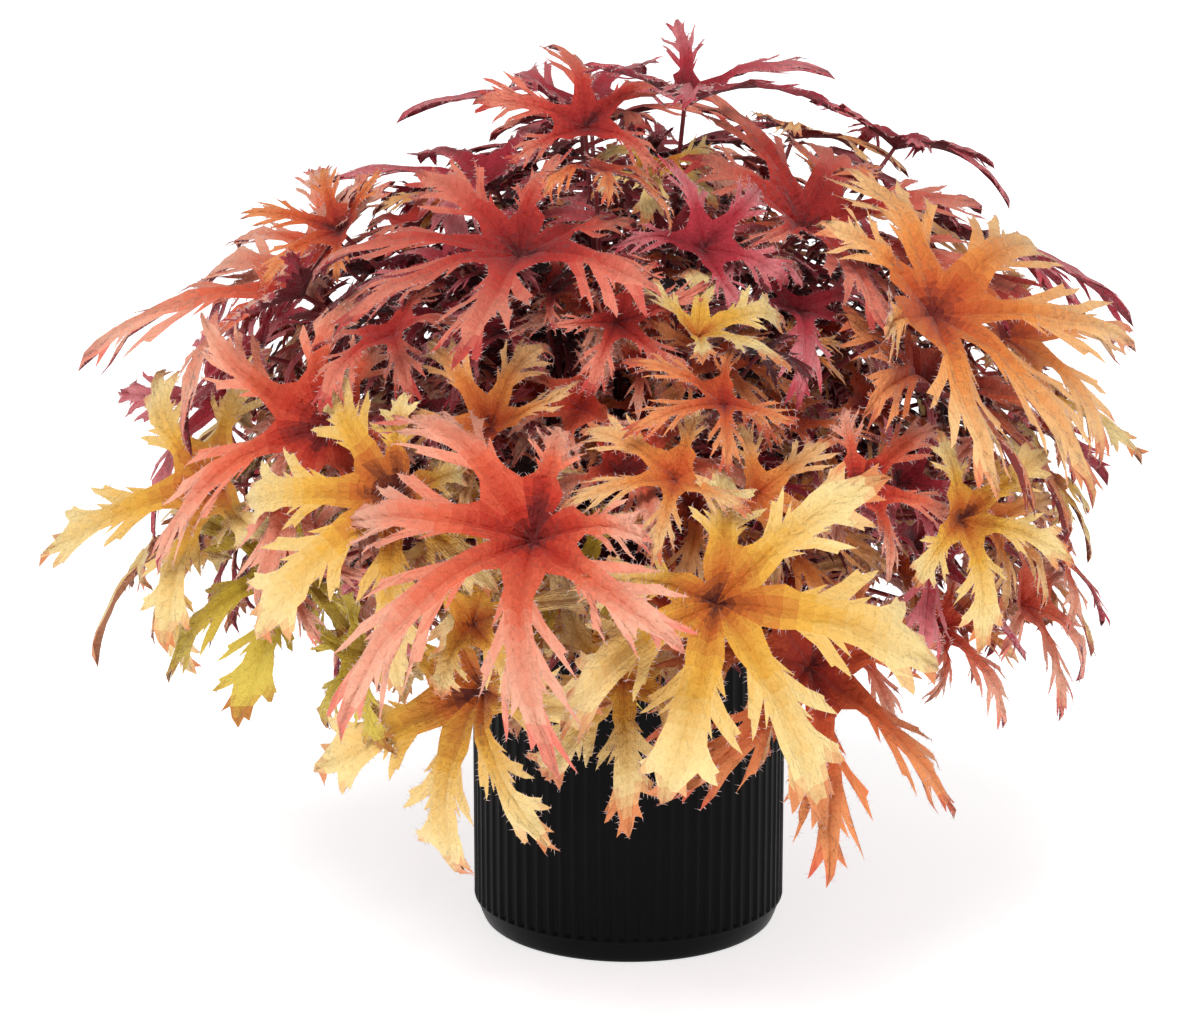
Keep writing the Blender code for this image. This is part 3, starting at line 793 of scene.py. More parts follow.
class Value:
    """A shader socket that takes part in sums."""

    def __init__(self, finish, socket):
        self.finish = finish
        self.socket = socket

    def maths(self, operation, first, second=0.0):
        """A Math node's result."""
        return self.finish.node("ShaderNodeMath", {"operation": operation}, {0: first, 1: second})

    def __add__(self, other):
        return self.maths("ADD", self, other)

    def __sub__(self, other):
        return self.maths("SUBTRACT", self, other)

    def __rsub__(self, other):
        return self.maths("SUBTRACT", other, self)

    def __mul__(self, other):
        return self.maths("MULTIPLY", self, other)

    __radd__ = __add__
    __rmul__ = __mul__

    def other(self, name):
        """Another output of the same node."""
        return Value(self.finish, self.socket.node.outputs[name])


class Finish:
    """A material with a Principled shader, built up from Python expressions."""

    def __init__(self, name, base, roughness, steady=None):
        self.material = bpy.data.materials.new(name)
        self.material.use_nodes = True
        self.tree = self.material.node_tree
        self.shader = self.tree.nodes["Principled BSDF"]
        self.shader.inputs["Roughness"].default_value = roughness
        for label, amount in (steady or {}).items():
            self.shader.inputs[label].default_value = amount
        self.set("Base Color", base)

    def set(self, label, value):
        """Sets a socket of the shader: a link from an expression, or a plain value."""
        self.plug(self.shader.inputs[label], value)

    def plug(self, socket, value):
        """Links a value to a socket, or sets its default. A colour gets its alpha."""
        if isinstance(value, Value):
            self.tree.links.new(value.socket, socket)
        elif isinstance(value, tuple) and len(value) == 3 and socket.type == "RGBA":
            socket.default_value = (*value, 1.0)
        else:
            socket.default_value = value

    def node(self, kind, settings=None, inputs=None, output=0):
        """Any node: its type, its settings, then the values or links of its sockets."""
        node = self.tree.nodes.new(kind)
        for label, setting in (settings or {}).items():
            setattr(node, label, setting)
        for label, value in (inputs or {}).items():
            self.plug(node.inputs[label], value)
        return Value(self, node.outputs[output])

    def place(self):
        """Object coordinates."""
        return self.node("ShaderNodeTexCoord", output="Object")

    def noise(self, place, scale, detail=3.0, roughness=0.55):
        """Cloudy noise from 0 to 1. The scale is about its lumps in a metre."""
        inputs = {"Vector": place, "Scale": scale, "Detail": detail, "Roughness": roughness}
        return self.node("ShaderNodeTexNoise", None, inputs)

    def mix(self, share, first, second):
        """A mix of two colours."""
        settings = {"data_type": "RGBA", "blend_type": "MIX"}
        return self.node("ShaderNodeMix", settings, {0: share, 6: first, 7: second}, output=2)

    def band(self, distance, width):
        """1 on a line, falling to 0 at a distance from it."""
        ends = {"From Min": 0.0, "From Max": width, "To Min": 1.0, "To Max": 0.0}
        settings = {"interpolation_type": "SMOOTHSTEP"}
        return self.node("ShaderNodeMapRange", settings, {"Value": distance, **ends})

    def wave(self, turns):
        """A zigzag from 0 to 1 and back for each whole number."""
        return self.node("ShaderNodeMath", {"operation": "PINGPONG"}, {0: turns, 1: 0.5}) * 2.0

    def bump(self, height, depth, strength):
        """Turns a height from 0 to 1 into relief of a depth in metres."""
        inputs = {"Strength": strength, "Distance": depth, "Height": height}
        self.set("Normal", self.node("ShaderNodeBump", None, inputs))


def scaled(colour, factor):
    """A colour made darker or paler."""
    return tuple(min(1.0, channel * factor) for channel in colour)


# Relief of a leaf's skin. Veins are measured on the vein map, in shares of a lobe's length.
GRAIN_SCALE = 1500.0
PIT_SCALE = 380.0
MIDRIB_WIDTH = 0.016
BRANCH_SLANT = 1.6
BRANCH_SPACING = 0.085
BRANCH_SHARPNESS = 5.0
PLEAT_SPACING = 0.017
SKIN_RELIEF = 0.0021


def leaf_finish(name, base, roughness):
    """A soft, finely hairy leaf skin: one plain colour, with sunken veins, pleats and pits."""
    steady = {"Sheen Weight": 0.15, "Sheen Roughness": 0.45, "Specular IOR Level": 0.35}
    finish = Finish(name, base, roughness, steady)
    place = finish.place()
    grain = finish.noise(place, GRAIN_SCALE, 2.0)
    pits = finish.noise(place, PIT_SCALE)
    vein_map = finish.node("ShaderNodeUVMap", {"uv_map": "veins"})
    across = finish.node("ShaderNodeSeparateXYZ", None, {"Vector": vein_map})
    along = across.other("Y")
    midrib = finish.band(across, MIDRIB_WIDTH)
    branch = finish.wave((along - across * BRANCH_SLANT + pits * 0.07) * (1.0 / BRANCH_SPACING))
    pleat = finish.wave((across + pits * 0.006) * (1.0 / PLEAT_SPACING))
    veins = branch.maths("POWER", branch, BRANCH_SHARPNESS)
    height = pits * 0.90 + grain * 0.16 + pleat * 0.08 - veins * 0.10 - midrib * 0.24 + 0.4
    finish.set("Roughness", pits * 0.30 + (roughness - 0.12))
    finish.bump(height, SKIN_RELIEF, 0.95)
    return finish.material


def gradient(stops, places, at):
    """The colour of a run of stops at a place from 0 to 1, as a linear colour."""
    linear = np.array([tone(*stop) for stop in stops])
    return tuple(float(np.interp(at, places, linear[:, channel])) for channel in range(3))


# ---------------------------------------------------------------------------------------------
# The shape of a leaf

# Up to here a leaf's lobes are one blade, and up to the notch its outermost two are as well.
FUSED_END = 0.22
NOTCH_REACH = 0.14

# Rows of a lobe: distance from the hub and half width, as shares of the lobe's length.
FINE_STEPS = (
    0.05, 0.09, 0.13, 0.16, 0.19, 0.22, 0.28, 0.34, 0.40, 0.46, 0.52, 0.58, 0.64, 0.70, 0.76, 0.82,
    0.88, 0.94, 1.00,
)
COARSE_STEPS = (0.05, 0.13, 0.22, 0.32, 0.42, 0.52, 0.62, 0.72, 0.84, 1.00)
FUSED_WIDTHS = (0.020, 0.036, 0.052, 0.064, 0.076, 0.088)
CUT_ROWS = tuple(zip(FINE_STEPS, (
    *FUSED_WIDTHS, 0.066, 0.056, 0.052, 0.053, 0.056, 0.054, 0.051, 0.050, 0.045, 0.037, 0.028,
    0.016, 0.0,
)))
BROAD_ROWS = tuple(zip(FINE_STEPS, (
    *FUSED_WIDTHS, 0.080, 0.070, 0.066, 0.068, 0.070, 0.076, 0.088, 0.092, 0.082, 0.066, 0.048,
    0.028, 0.0,
)))
PLAIN_ROWS = tuple(zip(COARSE_STEPS, (
    0.020, 0.052, 0.088, 0.064, 0.056, 0.057, 0.054, 0.049, 0.036, 0.0,
)))
# Side-lobes: which side, first and last row of the base, distance and width of the tip.
CUT_SIDES = (
    (1, 0.34, 0.46, 0.660, 0.178), (-1, 0.40, 0.52, 0.730, 0.172),
    (1, 0.52, 0.64, 0.820, 0.150), (-1, 0.58, 0.70, 0.880, 0.128),
    (1, 0.76, 0.88, 0.965, 0.076),
)
BROAD_SIDES = (
    (1, 0.40, 0.52, 0.640, 0.228), (-1, 0.34, 0.46, 0.570, 0.185),
    (1, 0.64, 0.76, 0.800, 0.176), (-1, 0.70, 0.82, 0.860, 0.140),
)
PLAIN_SIDES = (
    (1, 0.42, 0.52, 0.710, 0.180), (-1, 0.32, 0.42, 0.610, 0.170),
    (1, 0.62, 0.72, 0.870, 0.126), (-1, 0.62, 0.72, 0.840, 0.124),
)
# Teeth: a place near the middle of the edge that is drawn out, and the tip.
CUT_TEETH = (
    (0.127, 0.520, 0.162, 0.560), (-0.052, 0.370, -0.100, 0.460),
    (-0.122, 0.585, -0.156, 0.612), (0.098, 0.640, 0.126, 0.690),
    (-0.048, 0.740, -0.078, 0.800), (-0.033, 0.850, -0.058, 0.910),
    (0.046, 0.670, 0.072, 0.725),
)
BROAD_TEETH = (
    (0.068, 0.370, 0.120, 0.440), (-0.069, 0.490, -0.112, 0.560), (0.057, 0.850, 0.088, 0.905),
    (-0.040, 0.905, -0.070, 0.960), (0.160, 0.505, 0.202, 0.550), (-0.140, 0.435, -0.172, 0.490),
    (0.135, 0.700, 0.168, 0.735), (-0.110, 0.765, -0.140, 0.800), (0.070, 0.550, 0.112, 0.610),
)


class Lobe:
    """A flat lobe, modelled once in edit mode and then read into arrays."""

    # Steps of a side-lobe: shares of its reach, and how much its edge is scaled at each.
    SIDE_STEPS = ((0.40, 0.72), (0.34, 0.56), (0.26, 0.0))
    LEAST_HALF = 0.006
    FURTHEST_COLUMN = 3.0

    def __init__(self, name, columns, rows, sides, teeth=()):
        self.rows = rows
        self.columns = columns
        sheet = self.model(name, sides, teeth)
        places = points_of(sheet.data)
        self.across, self.along = places[:, 0], places[:, 1]
        triangles, middles = triangles_of(sheet.data), self.middles_of(sheet.data)
        discard(sheet)
        # Edit mode keeps no order of faces, so they are put in one, for the same colours each time.
        own_middles = places[triangles].mean(1)
        order = np.lexsort((*own_middles[:, :2].T, *middles[:, :2].T))
        self.triangles, self.middles = triangles[order], middles[order]
        distances, widths = zip(*rows)
        self.half = np.interp(self.along, distances, widths)
        self.fused = self.along < FUSED_END + 100 * CLOSE
        # -1 and 1 are the edges of the rows, and side-lobes reach beyond them.
        column = self.across / np.maximum(self.half, self.LEAST_HALF)
        self.column = np.clip(column, -self.FURTHEST_COLUMN, self.FURTHEST_COLUMN)

    @staticmethod
    def middles_of(mesh):
        """The middle of the face that each triangle is part of."""
        faces = np.empty(len(mesh.loop_triangles), np.int32)
        mesh.loop_triangles.foreach_get("polygon_index", faces)
        return np.array([mesh.polygons[face].center for face in faces])

    def model(self, name, sides, teeth):
        """A strip drawn out row by row to the tip, then its side-lobes and teeth."""
        rows = self.rows
        sheet = add(
            bpy.ops.mesh.primitive_grid_add, name, x_subdivisions=self.columns, y_subdivisions=1,
            size=1.0,
        )
        (first, first_half), (second, second_half) = rows[:2]
        with Editing(sheet) as hand:
            bpy.ops.mesh.select_all(action="SELECT")
            hand.stretch(2 * first_half, second - first)
            bpy.ops.transform.translate(value=(0.0, 0.5 * (first + second), 0.0))
            hand.choose("EDGE", lambda place: place.y > second - CLOSE)
            hand.stretch(second_half / first_half, 1.0)
            for (near, near_half), (far, far_half) in zip(rows[1:], rows[2:]):
                step = (0.0, far - near, 0.0)
                bpy.ops.mesh.extrude_region_move(TRANSFORM_OT_translate={"value": step})
                if far_half > 0.0:
                    hand.stretch(far_half / near_half, 1.0)
                else:
                    bpy.ops.mesh.merge(type="COLLAPSE")
            for side in sides:
                self.draw_side_lobe(hand, *side)
            for tooth in teeth:
                self.draw_tooth(hand, *tooth)
        return sheet

    def on_edge(self, place, side, lowest, highest):
        """Whether a corner is on one edge, between two rows."""
        distances, widths = zip(*self.rows)
        away = place.x - side * np.interp(place.y, distances, widths)
        return abs(away) < 2 * CLOSE and lowest - 10 * CLOSE < place.y < highest + 10 * CLOSE

    def draw_side_lobe(self, hand, side, lowest, highest, tip_along, tip_across):
        """A forward side-lobe with a middle line, drawn out of two edges in three steps."""
        hand.choose("EDGE", lambda place: self.on_edge(place, side, lowest, highest))
        reach = Vector((side * tip_across, tip_along, 0.0)) - hand.middle()
        for share, size in self.SIDE_STEPS:
            hand.draw_out(reach * share, size)

    def draw_tooth(self, hand, near_across, near_along, tip_across, tip_along):
        """A tooth drawn out of the one edge of the outline that is nearest to a place."""
        near = Vector((near_across, near_along, 0.0))
        tip = Vector((tip_across, tip_along, 0.0))
        bpy.ops.mesh.select_mode(type="EDGE")
        bpy.ops.mesh.select_all(action="DESELECT")
        shape = bmesh.from_edit_mesh(hand.piece.data)
        outline = [edge for edge in shape.edges if edge.is_boundary]
        middles = [0.5 * (edge.verts[0].co + edge.verts[1].co) for edge in outline]
        nearest = min(range(len(outline)), key=lambda place: (middles[place] - near).length)
        outline[nearest].select_set(True)
        bmesh.update_edit_mesh(hand.piece.data)
        hand.draw_out(tip - hand.middle(), 0.0)

    def wound(self, flip):
        """The triangles, wound so that they face up when the lobe points along X."""
        place = np.column_stack([self.along, self.across * flip])
        a, b, c = (place[self.triangles[:, corner]] for corner in range(3))
        (b_x, b_y), (c_x, c_y) = (b - a).T, (c - a).T
        area = b_x * c_y - b_y * c_x
        return np.where((area < 0)[:, None], self.triangles[:, ::-1], self.triangles)


# Where the faces round the hub have their middle, and the least half width that counts.
FAN_MIDDLE = 0.02


class LeafShape:
    """Lobes side by side round a hub: one two-sided blade, as arrays for any leaf of its kind."""

    def __init__(self, lobe, count, flips):
        self.count = count
        # The hub is corner 0. The others are kept as the lobe and the lobe's corner they come from.
        keys = {}
        owners = [(-1, -1)]
        faces = []
        middles = []
        for number in range(count):
            flip = flips[number]
            ids = np.empty(len(lobe.across), np.int64)
            for corner in range(len(ids)):
                key = self.key_of(lobe, number, corner, flip, count)
                if key not in keys:
                    keys[key] = len(owners)
                    owners.append((number, corner))
                ids[corner] = keys[key]
            faces.append(ids[lobe.wound(flip)])
            owner = np.full(len(lobe.triangles), number)
            middles.append(np.column_stack([owner, lobe.middles[:, :2]]))
            foot = np.flatnonzero(lobe.along < lobe.rows[0][0] + CLOSE)
            foot = foot[np.argsort(lobe.across[foot])]
            pairs = zip(foot, foot[1:]) if flip > 0 else zip(foot[1:], foot)
            faces.append(np.array([(0, ids[a], ids[b]) for a, b in pairs]))
            middles.append(np.array([(number, 0.0, FAN_MIDDLE)] * (len(foot) - 1)))
        owners = np.array(owners)
        corner = owners[:, 1]
        self.lobe = np.maximum(owners[:, 0], 0)
        flip = np.array(flips)[self.lobe]
        is_hub = corner < 0
        self.along = np.where(is_hub, 0.0, lobe.along[corner])
        self.across = np.where(is_hub, 0.0, lobe.across[corner] * flip)
        self.column = np.where(is_hub, 0.0, lobe.column[corner] * flip)
        self.fused = is_hub | lobe.fused[corner]
        self.over = np.concatenate(faces)
        middles = np.concatenate(middles)
        distances, widths = zip(*lobe.rows)
        number, across, self.face_along = middles.T
        half = np.maximum(np.interp(self.face_along, distances, widths), FAN_MIDDLE)
        self.face_lobe = number.astype(int)
        self.face_column = np.abs(across) / half
        self.close()

    def close(self):
        """Adds the underside. It shares the outline, but for corners where teeth meet the blade."""
        self.border = self.outline()
        count = len(self.along)
        on_border = np.zeros(count, bool)
        on_border[self.border.ravel()] = True
        edges = self.edges()
        inner = ~np.isin(edge_codes(edges), edge_codes(self.border))
        chords = edges[on_border[edges].all(1) & inner]
        shared = on_border.copy()
        shared[chords.ravel()] = False
        self.split = np.flatnonzero(~shared)
        self.rim = on_border[self.split]
        below = np.arange(count)
        below[self.split] = count + np.arange(len(self.split))
        first, second = self.border.T
        walls = []
        for a, b, c in ((first, below[first], second), (second, below[first], below[second])):
            wall = np.stack([a, b, c], 1)
            walls.append(wall[(a != b) & (b != c) & (a != c)])
        self.walls = np.concatenate(walls)
        self.under = below[self.over[:, ::-1]]
        self.triangles = np.concatenate([self.over, self.under, self.walls])
        self.creases = np.concatenate([self.border, below[self.border]])
        veins = np.column_stack([np.abs(self.across), self.along])
        self.veins = np.concatenate([veins, veins[self.split]])

    @staticmethod
    def key_of(lobe, number, corner, flip, count):
        """Corners on the line between two lobes are shared, up to the sinus or the notch."""
        column = lobe.across[corner] * flip / lobe.half[corner] if lobe.half[corner] else 0.0
        if not lobe.fused[corner] or abs(column) < 0.99:
            return number, corner
        seam = number + 1 if column > 0 else number
        height = round(float(lobe.along[corner]), 3)
        if seam % count == 0:
            return ("seam", 0, height) if height < NOTCH_REACH else (number, corner)
        return "seam", seam, height

    def edges(self):
        """The edges of the upper side, each in the order of its face."""
        return np.concatenate([self.over[:, (0, 1)], self.over[:, (1, 2)], self.over[:, (2, 0)]])

    def outline(self):
        """The edges that only one upper face has."""
        edges = self.edges()
        _, first, count = np.unique(edge_codes(edges), return_index=True, return_counts=True)
        return edges[first[count == 1]]


class Blade:
    """One leaf's own bends, folds and jitter over its shape, and its corners in space.

    Play is 1 for a leaf that bends freely and 0 for one that keeps to its plain shape. Sizes are
    shares of the leaf's length.
    """

    SINUSES = (0.16, 0.25)
    LOBE_WIDTHS = (0.86, 1.18)
    LOBE_CURVE = 0.16
    EDGE_JITTER = 0.004
    NOTCH_WIDTH = 0.11
    PLEAT = 0.027
    RUFFLE = 0.013
    RUFFLE_TURNS = 17.0
    TWIST = 0.30
    DROOP = 0.07
    NOD = (-0.004, 0.010)
    SKIN_JITTER = 0.0016

    def __init__(self, leaf, shape, chance, play):
        self.leaf = leaf
        self.shape = shape
        self.play = play
        count = shape.count
        angles, reaches = np.array(leaf.lobes).T
        lobe = shape.lobe
        gaps = np.empty((count, 2))
        gaps[1:, 0] = gaps[:-1, 1] = 0.5 * (angles[1:] - angles[:-1])
        gaps[0, 0] = math.pi + angles[0]
        gaps[-1, 1] = math.pi - angles[-1]
        sinus = chance.uniform(*self.SINUSES, count + 1)
        sinus[0] = sinus[-1] = 0.5 * (sinus[0] + sinus[-1])
        column = np.clip(shape.column, -1.0, 1.0)
        left = column > 0
        gap = np.where(left, gaps[lobe, 1], gaps[lobe, 0])
        outermost = (left & (lobe == count - 1)) | (~left & (lobe == 0))
        free = outermost & (shape.along > NOTCH_REACH)
        widest = np.arctan(self.NOTCH_WIDTH / np.maximum(shape.along, 0.01))
        gap = np.where(free, np.minimum(gap, widest), gap)
        middle_sinus = 0.5 * (sinus[lobe] + sinus[lobe + 1])
        side_sinus = np.where(left, sinus[lobe + 1], sinus[lobe])
        here = middle_sinus + (side_sinus - middle_sinus) * np.abs(column)
        fused_angle = column * gap
        fused_reach = shape.along / FUSED_END * here
        # Beyond the sinus each lobe has its own length, width and sideways curve.
        wide = chance.uniform(*self.LOBE_WIDTHS, count)[lobe]
        curve = chance.normal(0.0, self.LOBE_CURVE * play, count)[lobe]
        reach = reaches[lobe]
        beyond = np.maximum(shape.along - FUSED_END, 0.0) / (1.0 - FUSED_END)
        along = middle_sinus + beyond * (reach - middle_sinus)
        jitter = chance.normal(0.0, self.EDGE_JITTER, len(lobe))
        across = shape.across * wide * (0.35 + 0.65 * reach) + curve * beyond ** 2 * reach + jitter
        self.angle = angles[lobe] + np.where(shape.fused, fused_angle, np.arctan2(across, along))
        self.reach = np.where(shape.fused, fused_reach, np.hypot(along, across))
        self.lift = self.relief(chance, column, beyond, count)

    def relief(self, chance, column, beyond, count):
        """Heights over the smooth blade: channel, pleats, ruffles, twisted and drooping lobes."""
        shape = self.shape
        play = self.play
        lobe = shape.lobe
        edge = np.abs(column)
        half = lobe, (column > 0).astype(int)
        swell = np.minimum(shape.along / 0.2, 1.0)
        fold = 0.25 + 0.75 * play
        channel = CHANNEL * edge ** 2 * fold
        pleat = self.PLEAT * (1.0 - np.abs(2.0 * edge - 1.0)) * swell * fold
        phase = chance.uniform(0, math.tau, (count, 2))[half]
        wave = np.sin(shape.along * self.RUFFLE_TURNS + phase)
        ruffle = self.RUFFLE * edge * wave * swell * play
        slope = np.tan(chance.normal(0.0, self.TWIST * play, count))[lobe]
        twist = slope * shape.across * beyond
        sag = chance.normal(0.0, self.DROOP * play, count)[lobe]
        droop = sag * beyond * (0.4 + 0.6 * beyond)
        outer = np.maximum(np.abs(shape.column) - 1.0, 0.0)
        nod = chance.normal(*self.NOD, (count, 2))[half] * outer * play
        seam = shape.fused & (edge > 0.99)
        lift = channel + pleat + np.where(seam, 0.0, ruffle) + twist + droop + nod
        return lift + chance.normal(0.0, self.SKIN_JITTER, len(lobe)) * swell

    def corners(self, thickness):
        """Corners over and under, in metres: the two sides share the outline."""
        leaf = self.leaf
        over = blade_places(leaf, self.angle, self.reach, self.lift)
        split = self.shape.split
        thin = np.where(self.shape.rim, 0.4, 1.0)
        lower = self.lift[split] - thin * thickness / leaf.length
        under = blade_places(leaf, self.angle[split], self.reach[split], lower)
        return np.concatenate([over, under])


def blade_places(leaf, angle, share, lift):
    """Leaf.point for arrays of angles, shares and lifts."""
    curl = np.full_like(angle, leaf.curl)
    for number, (size, shift) in enumerate(leaf.waves, 1):
        curl += size * np.cos(number * angle + shift)
    bend = leaf.cup - curl * share
    axis, side, normal = (np.array(way) for way in (leaf.axis, leaf.side, leaf.normal))
    heading = np.cos(angle)[:, None] * axis + np.sin(angle)[:, None] * side
    outward = ((math.sin(leaf.cup) - np.sin(bend)) / curl)[:, None]
    upward = ((np.cos(bend) - math.cos(leaf.cup)) / curl)[:, None]
    facing = np.cos(bend)[:, None] * normal - np.sin(bend)[:, None] * heading
    place = heading * outward + normal * upward + facing * lift[:, None]
    return np.array(leaf.hub) + place * leaf.length


# How a colour zone's borders run: their shift for each face and lobe, their waves along a lobe,
# and how much nearer to the tip's colour the edges of a lobe are past the heart.
FACE_SHIFT = 0.004
LOBE_SHIFT = 0.03
WAVE_SHIFT = 0.022
WAVE_TURNS = 19.0
EDGE_SHIFT = 0.10
HEART = 0.12


def zones_of(shape, chance, shift):
    """The colour zone of each upper face, from heart to tips, with soft uneven borders."""
    along, lobe = shape.face_along, shape.face_lobe
    edge = np.minimum(shape.face_column, 1.4)
    by_face = chance.normal(0.0, FACE_SHIFT, len(along))
    by_lobe = chance.normal(0.0, LOBE_SHIFT, shape.count)[lobe]
    wave = WAVE_SHIFT * np.sin(along * WAVE_TURNS + lobe * 2.0 + chance.uniform(0, 6))
    to_edge = EDGE_SHIFT * (edge - 0.4) * (along > HEART)
    place = along + to_edge + by_face + by_lobe + wave + shift
    zone = np.maximum(place, 0.0) ** (1.0 / ZONE_SPREAD) * ZONES
    return np.clip(zone.astype(int), 0, ZONES - 1)


# ---------------------------------------------------------------------------------------------
# Leaves between and behind the placed ones

# Layers of small leaves, between the placed ones, behind them, inmost and young: leaves in a low,
# middle and top mass, reach of the hubs, leaf length, half the room's thickness, tries, and how
# deep in the crown they are.
LAYERS = (
    ((8, 13, 20), (0.115, 0.180), (0.046, 0.074), 0.0080, 110, 0.0),
    ((8, 20, 34), (0.080, 0.165), (0.044, 0.070), 0.0055, 150, 0.22),
    ((4, 16, 26), (0.050, 0.130), (0.046, 0.066), 0.0055, 120, 0.40),
    ((0, 15, 26), (0.070, 0.172), (0.028, 0.046), 0.0045, 220, 0.30),
)
TIER_NAMES = [tier[0] for tier in TIERS]
LOWEST_ANGLE = -2
SMALL_TURN = 60
SMALL_UPWARD = (0.2, 0.7)
SMALL_EASE = 2
# Dark tints given to leaves deep in the crown, as painted shade.
DEEP_SHADE_TINTS = ("wine", "wine", "rose", "brick", "dusk", "wine")


def small_tint(mass, azimuth, depth, chance):
    """A tint of the tier's, or the deeper the leaf is, the likelier a dark one, as painted shade.
    """
    tint = mass.tint_at(azimuth, chance)
    if depth > 0.0 and chance.random() < 0.45 + depth:
        tint = "dusk" if chance.random() < 1.6 * depth else chance.choice(DEEP_SHADE_TINTS)
    return tint


def fill_between(crown):
    """Places the small leaves of each layer in the emptiest places, on the same stems."""
    for layer, (counts, reaches, lengths, thickness, tries, depth) in enumerate(LAYERS):
        for number, mass in enumerate(crown.masses):
            chance = random.Random(SEED * 3000 + layer * 100 + number)
            wanted = counts[TIER_NAMES.index(mass.tier)]
            lowest = LOWEST_ANGLE if mass.tier == "low" else mass.heights[0]
            placed = 0
            for _ in range(tries):
                if placed >= wanted:
                    break
                place = crown.emptiest(
                    mass, chance, WIDE_SECTOR_SHARE, lowest, lambda: chance.uniform(*reaches)
                )
                tint = small_tint(mass, place[0], depth, chance)
                length = chance.uniform(*lengths)
                facing = UP * chance.uniform(*SMALL_UPWARD)
                turn = chance.gauss(0, SMALL_TURN)
                leaf = Leaf(mass, place, turn, length, tint, facing, chance, SMALL_EASE, depth)
                placed += crown.squeeze_in(leaf, thickness)


# ---------------------------------------------------------------------------------------------
# Settings


class PotSettings(bpy.types.PropertyGroup):
    """Sizes and colour of the pot."""

    rib_depth: length_setting("Depth of the flutes", RIB_DEPTH)
    plastic: colour_setting("Black plastic", tone(9, 9, 10))


class MixSettings(bpy.types.PropertyGroup):
    """The potting mix and the rootstock."""

    lump: length_setting("Height of the mix's lumps", 0.0011)
    dark: colour_setting("Dark peat", tone(34, 24, 18))
    light: colour_setting("Dry fibres", tone(96, 70, 48))
    bark: colour_setting("Rootstock bark", tone(104, 66, 44))


class CrownSettings(bpy.types.PropertyGroup):
    """Leaves, hairs and petioles."""

    thickness: length_setting("Thickness of a blade", 0.0004)
    hair_length: length_setting("Length of the hairs", 0.0021)
    hair_width: length_setting("Width of a hair's foot", 0.00032)
    hair_spacing: length_setting("Distance between hairs", 0.0027)
    hair: colour_setting("Hairs", tone(240, 206, 200))
    petiole: colour_setting("Petioles", tone(120, 18, 26))
    gloss: number_setting("Roughness of the leaf skin", 0.56)


class StageSettings(bpy.types.PropertyGroup):
    """Floor, light and camera."""

    floor_side: length_setting("Side of the floor", 14.0)
    floor: colour_setting("Pale floor", tone(246, 246, 246))
    glow: number_setting("Glow of the floor, as of a lit table", 0.76, 2.0)
    fill: number_setting("Strength of the light from all round", 0.30, 5.0)
    key: number_setting("Strength of the soft light from above", 1.85, 20.0)
    low: number_setting("Strength of the soft light from the front", 0.45, 20.0)


# ---------------------------------------------------------------------------------------------
# Pieces


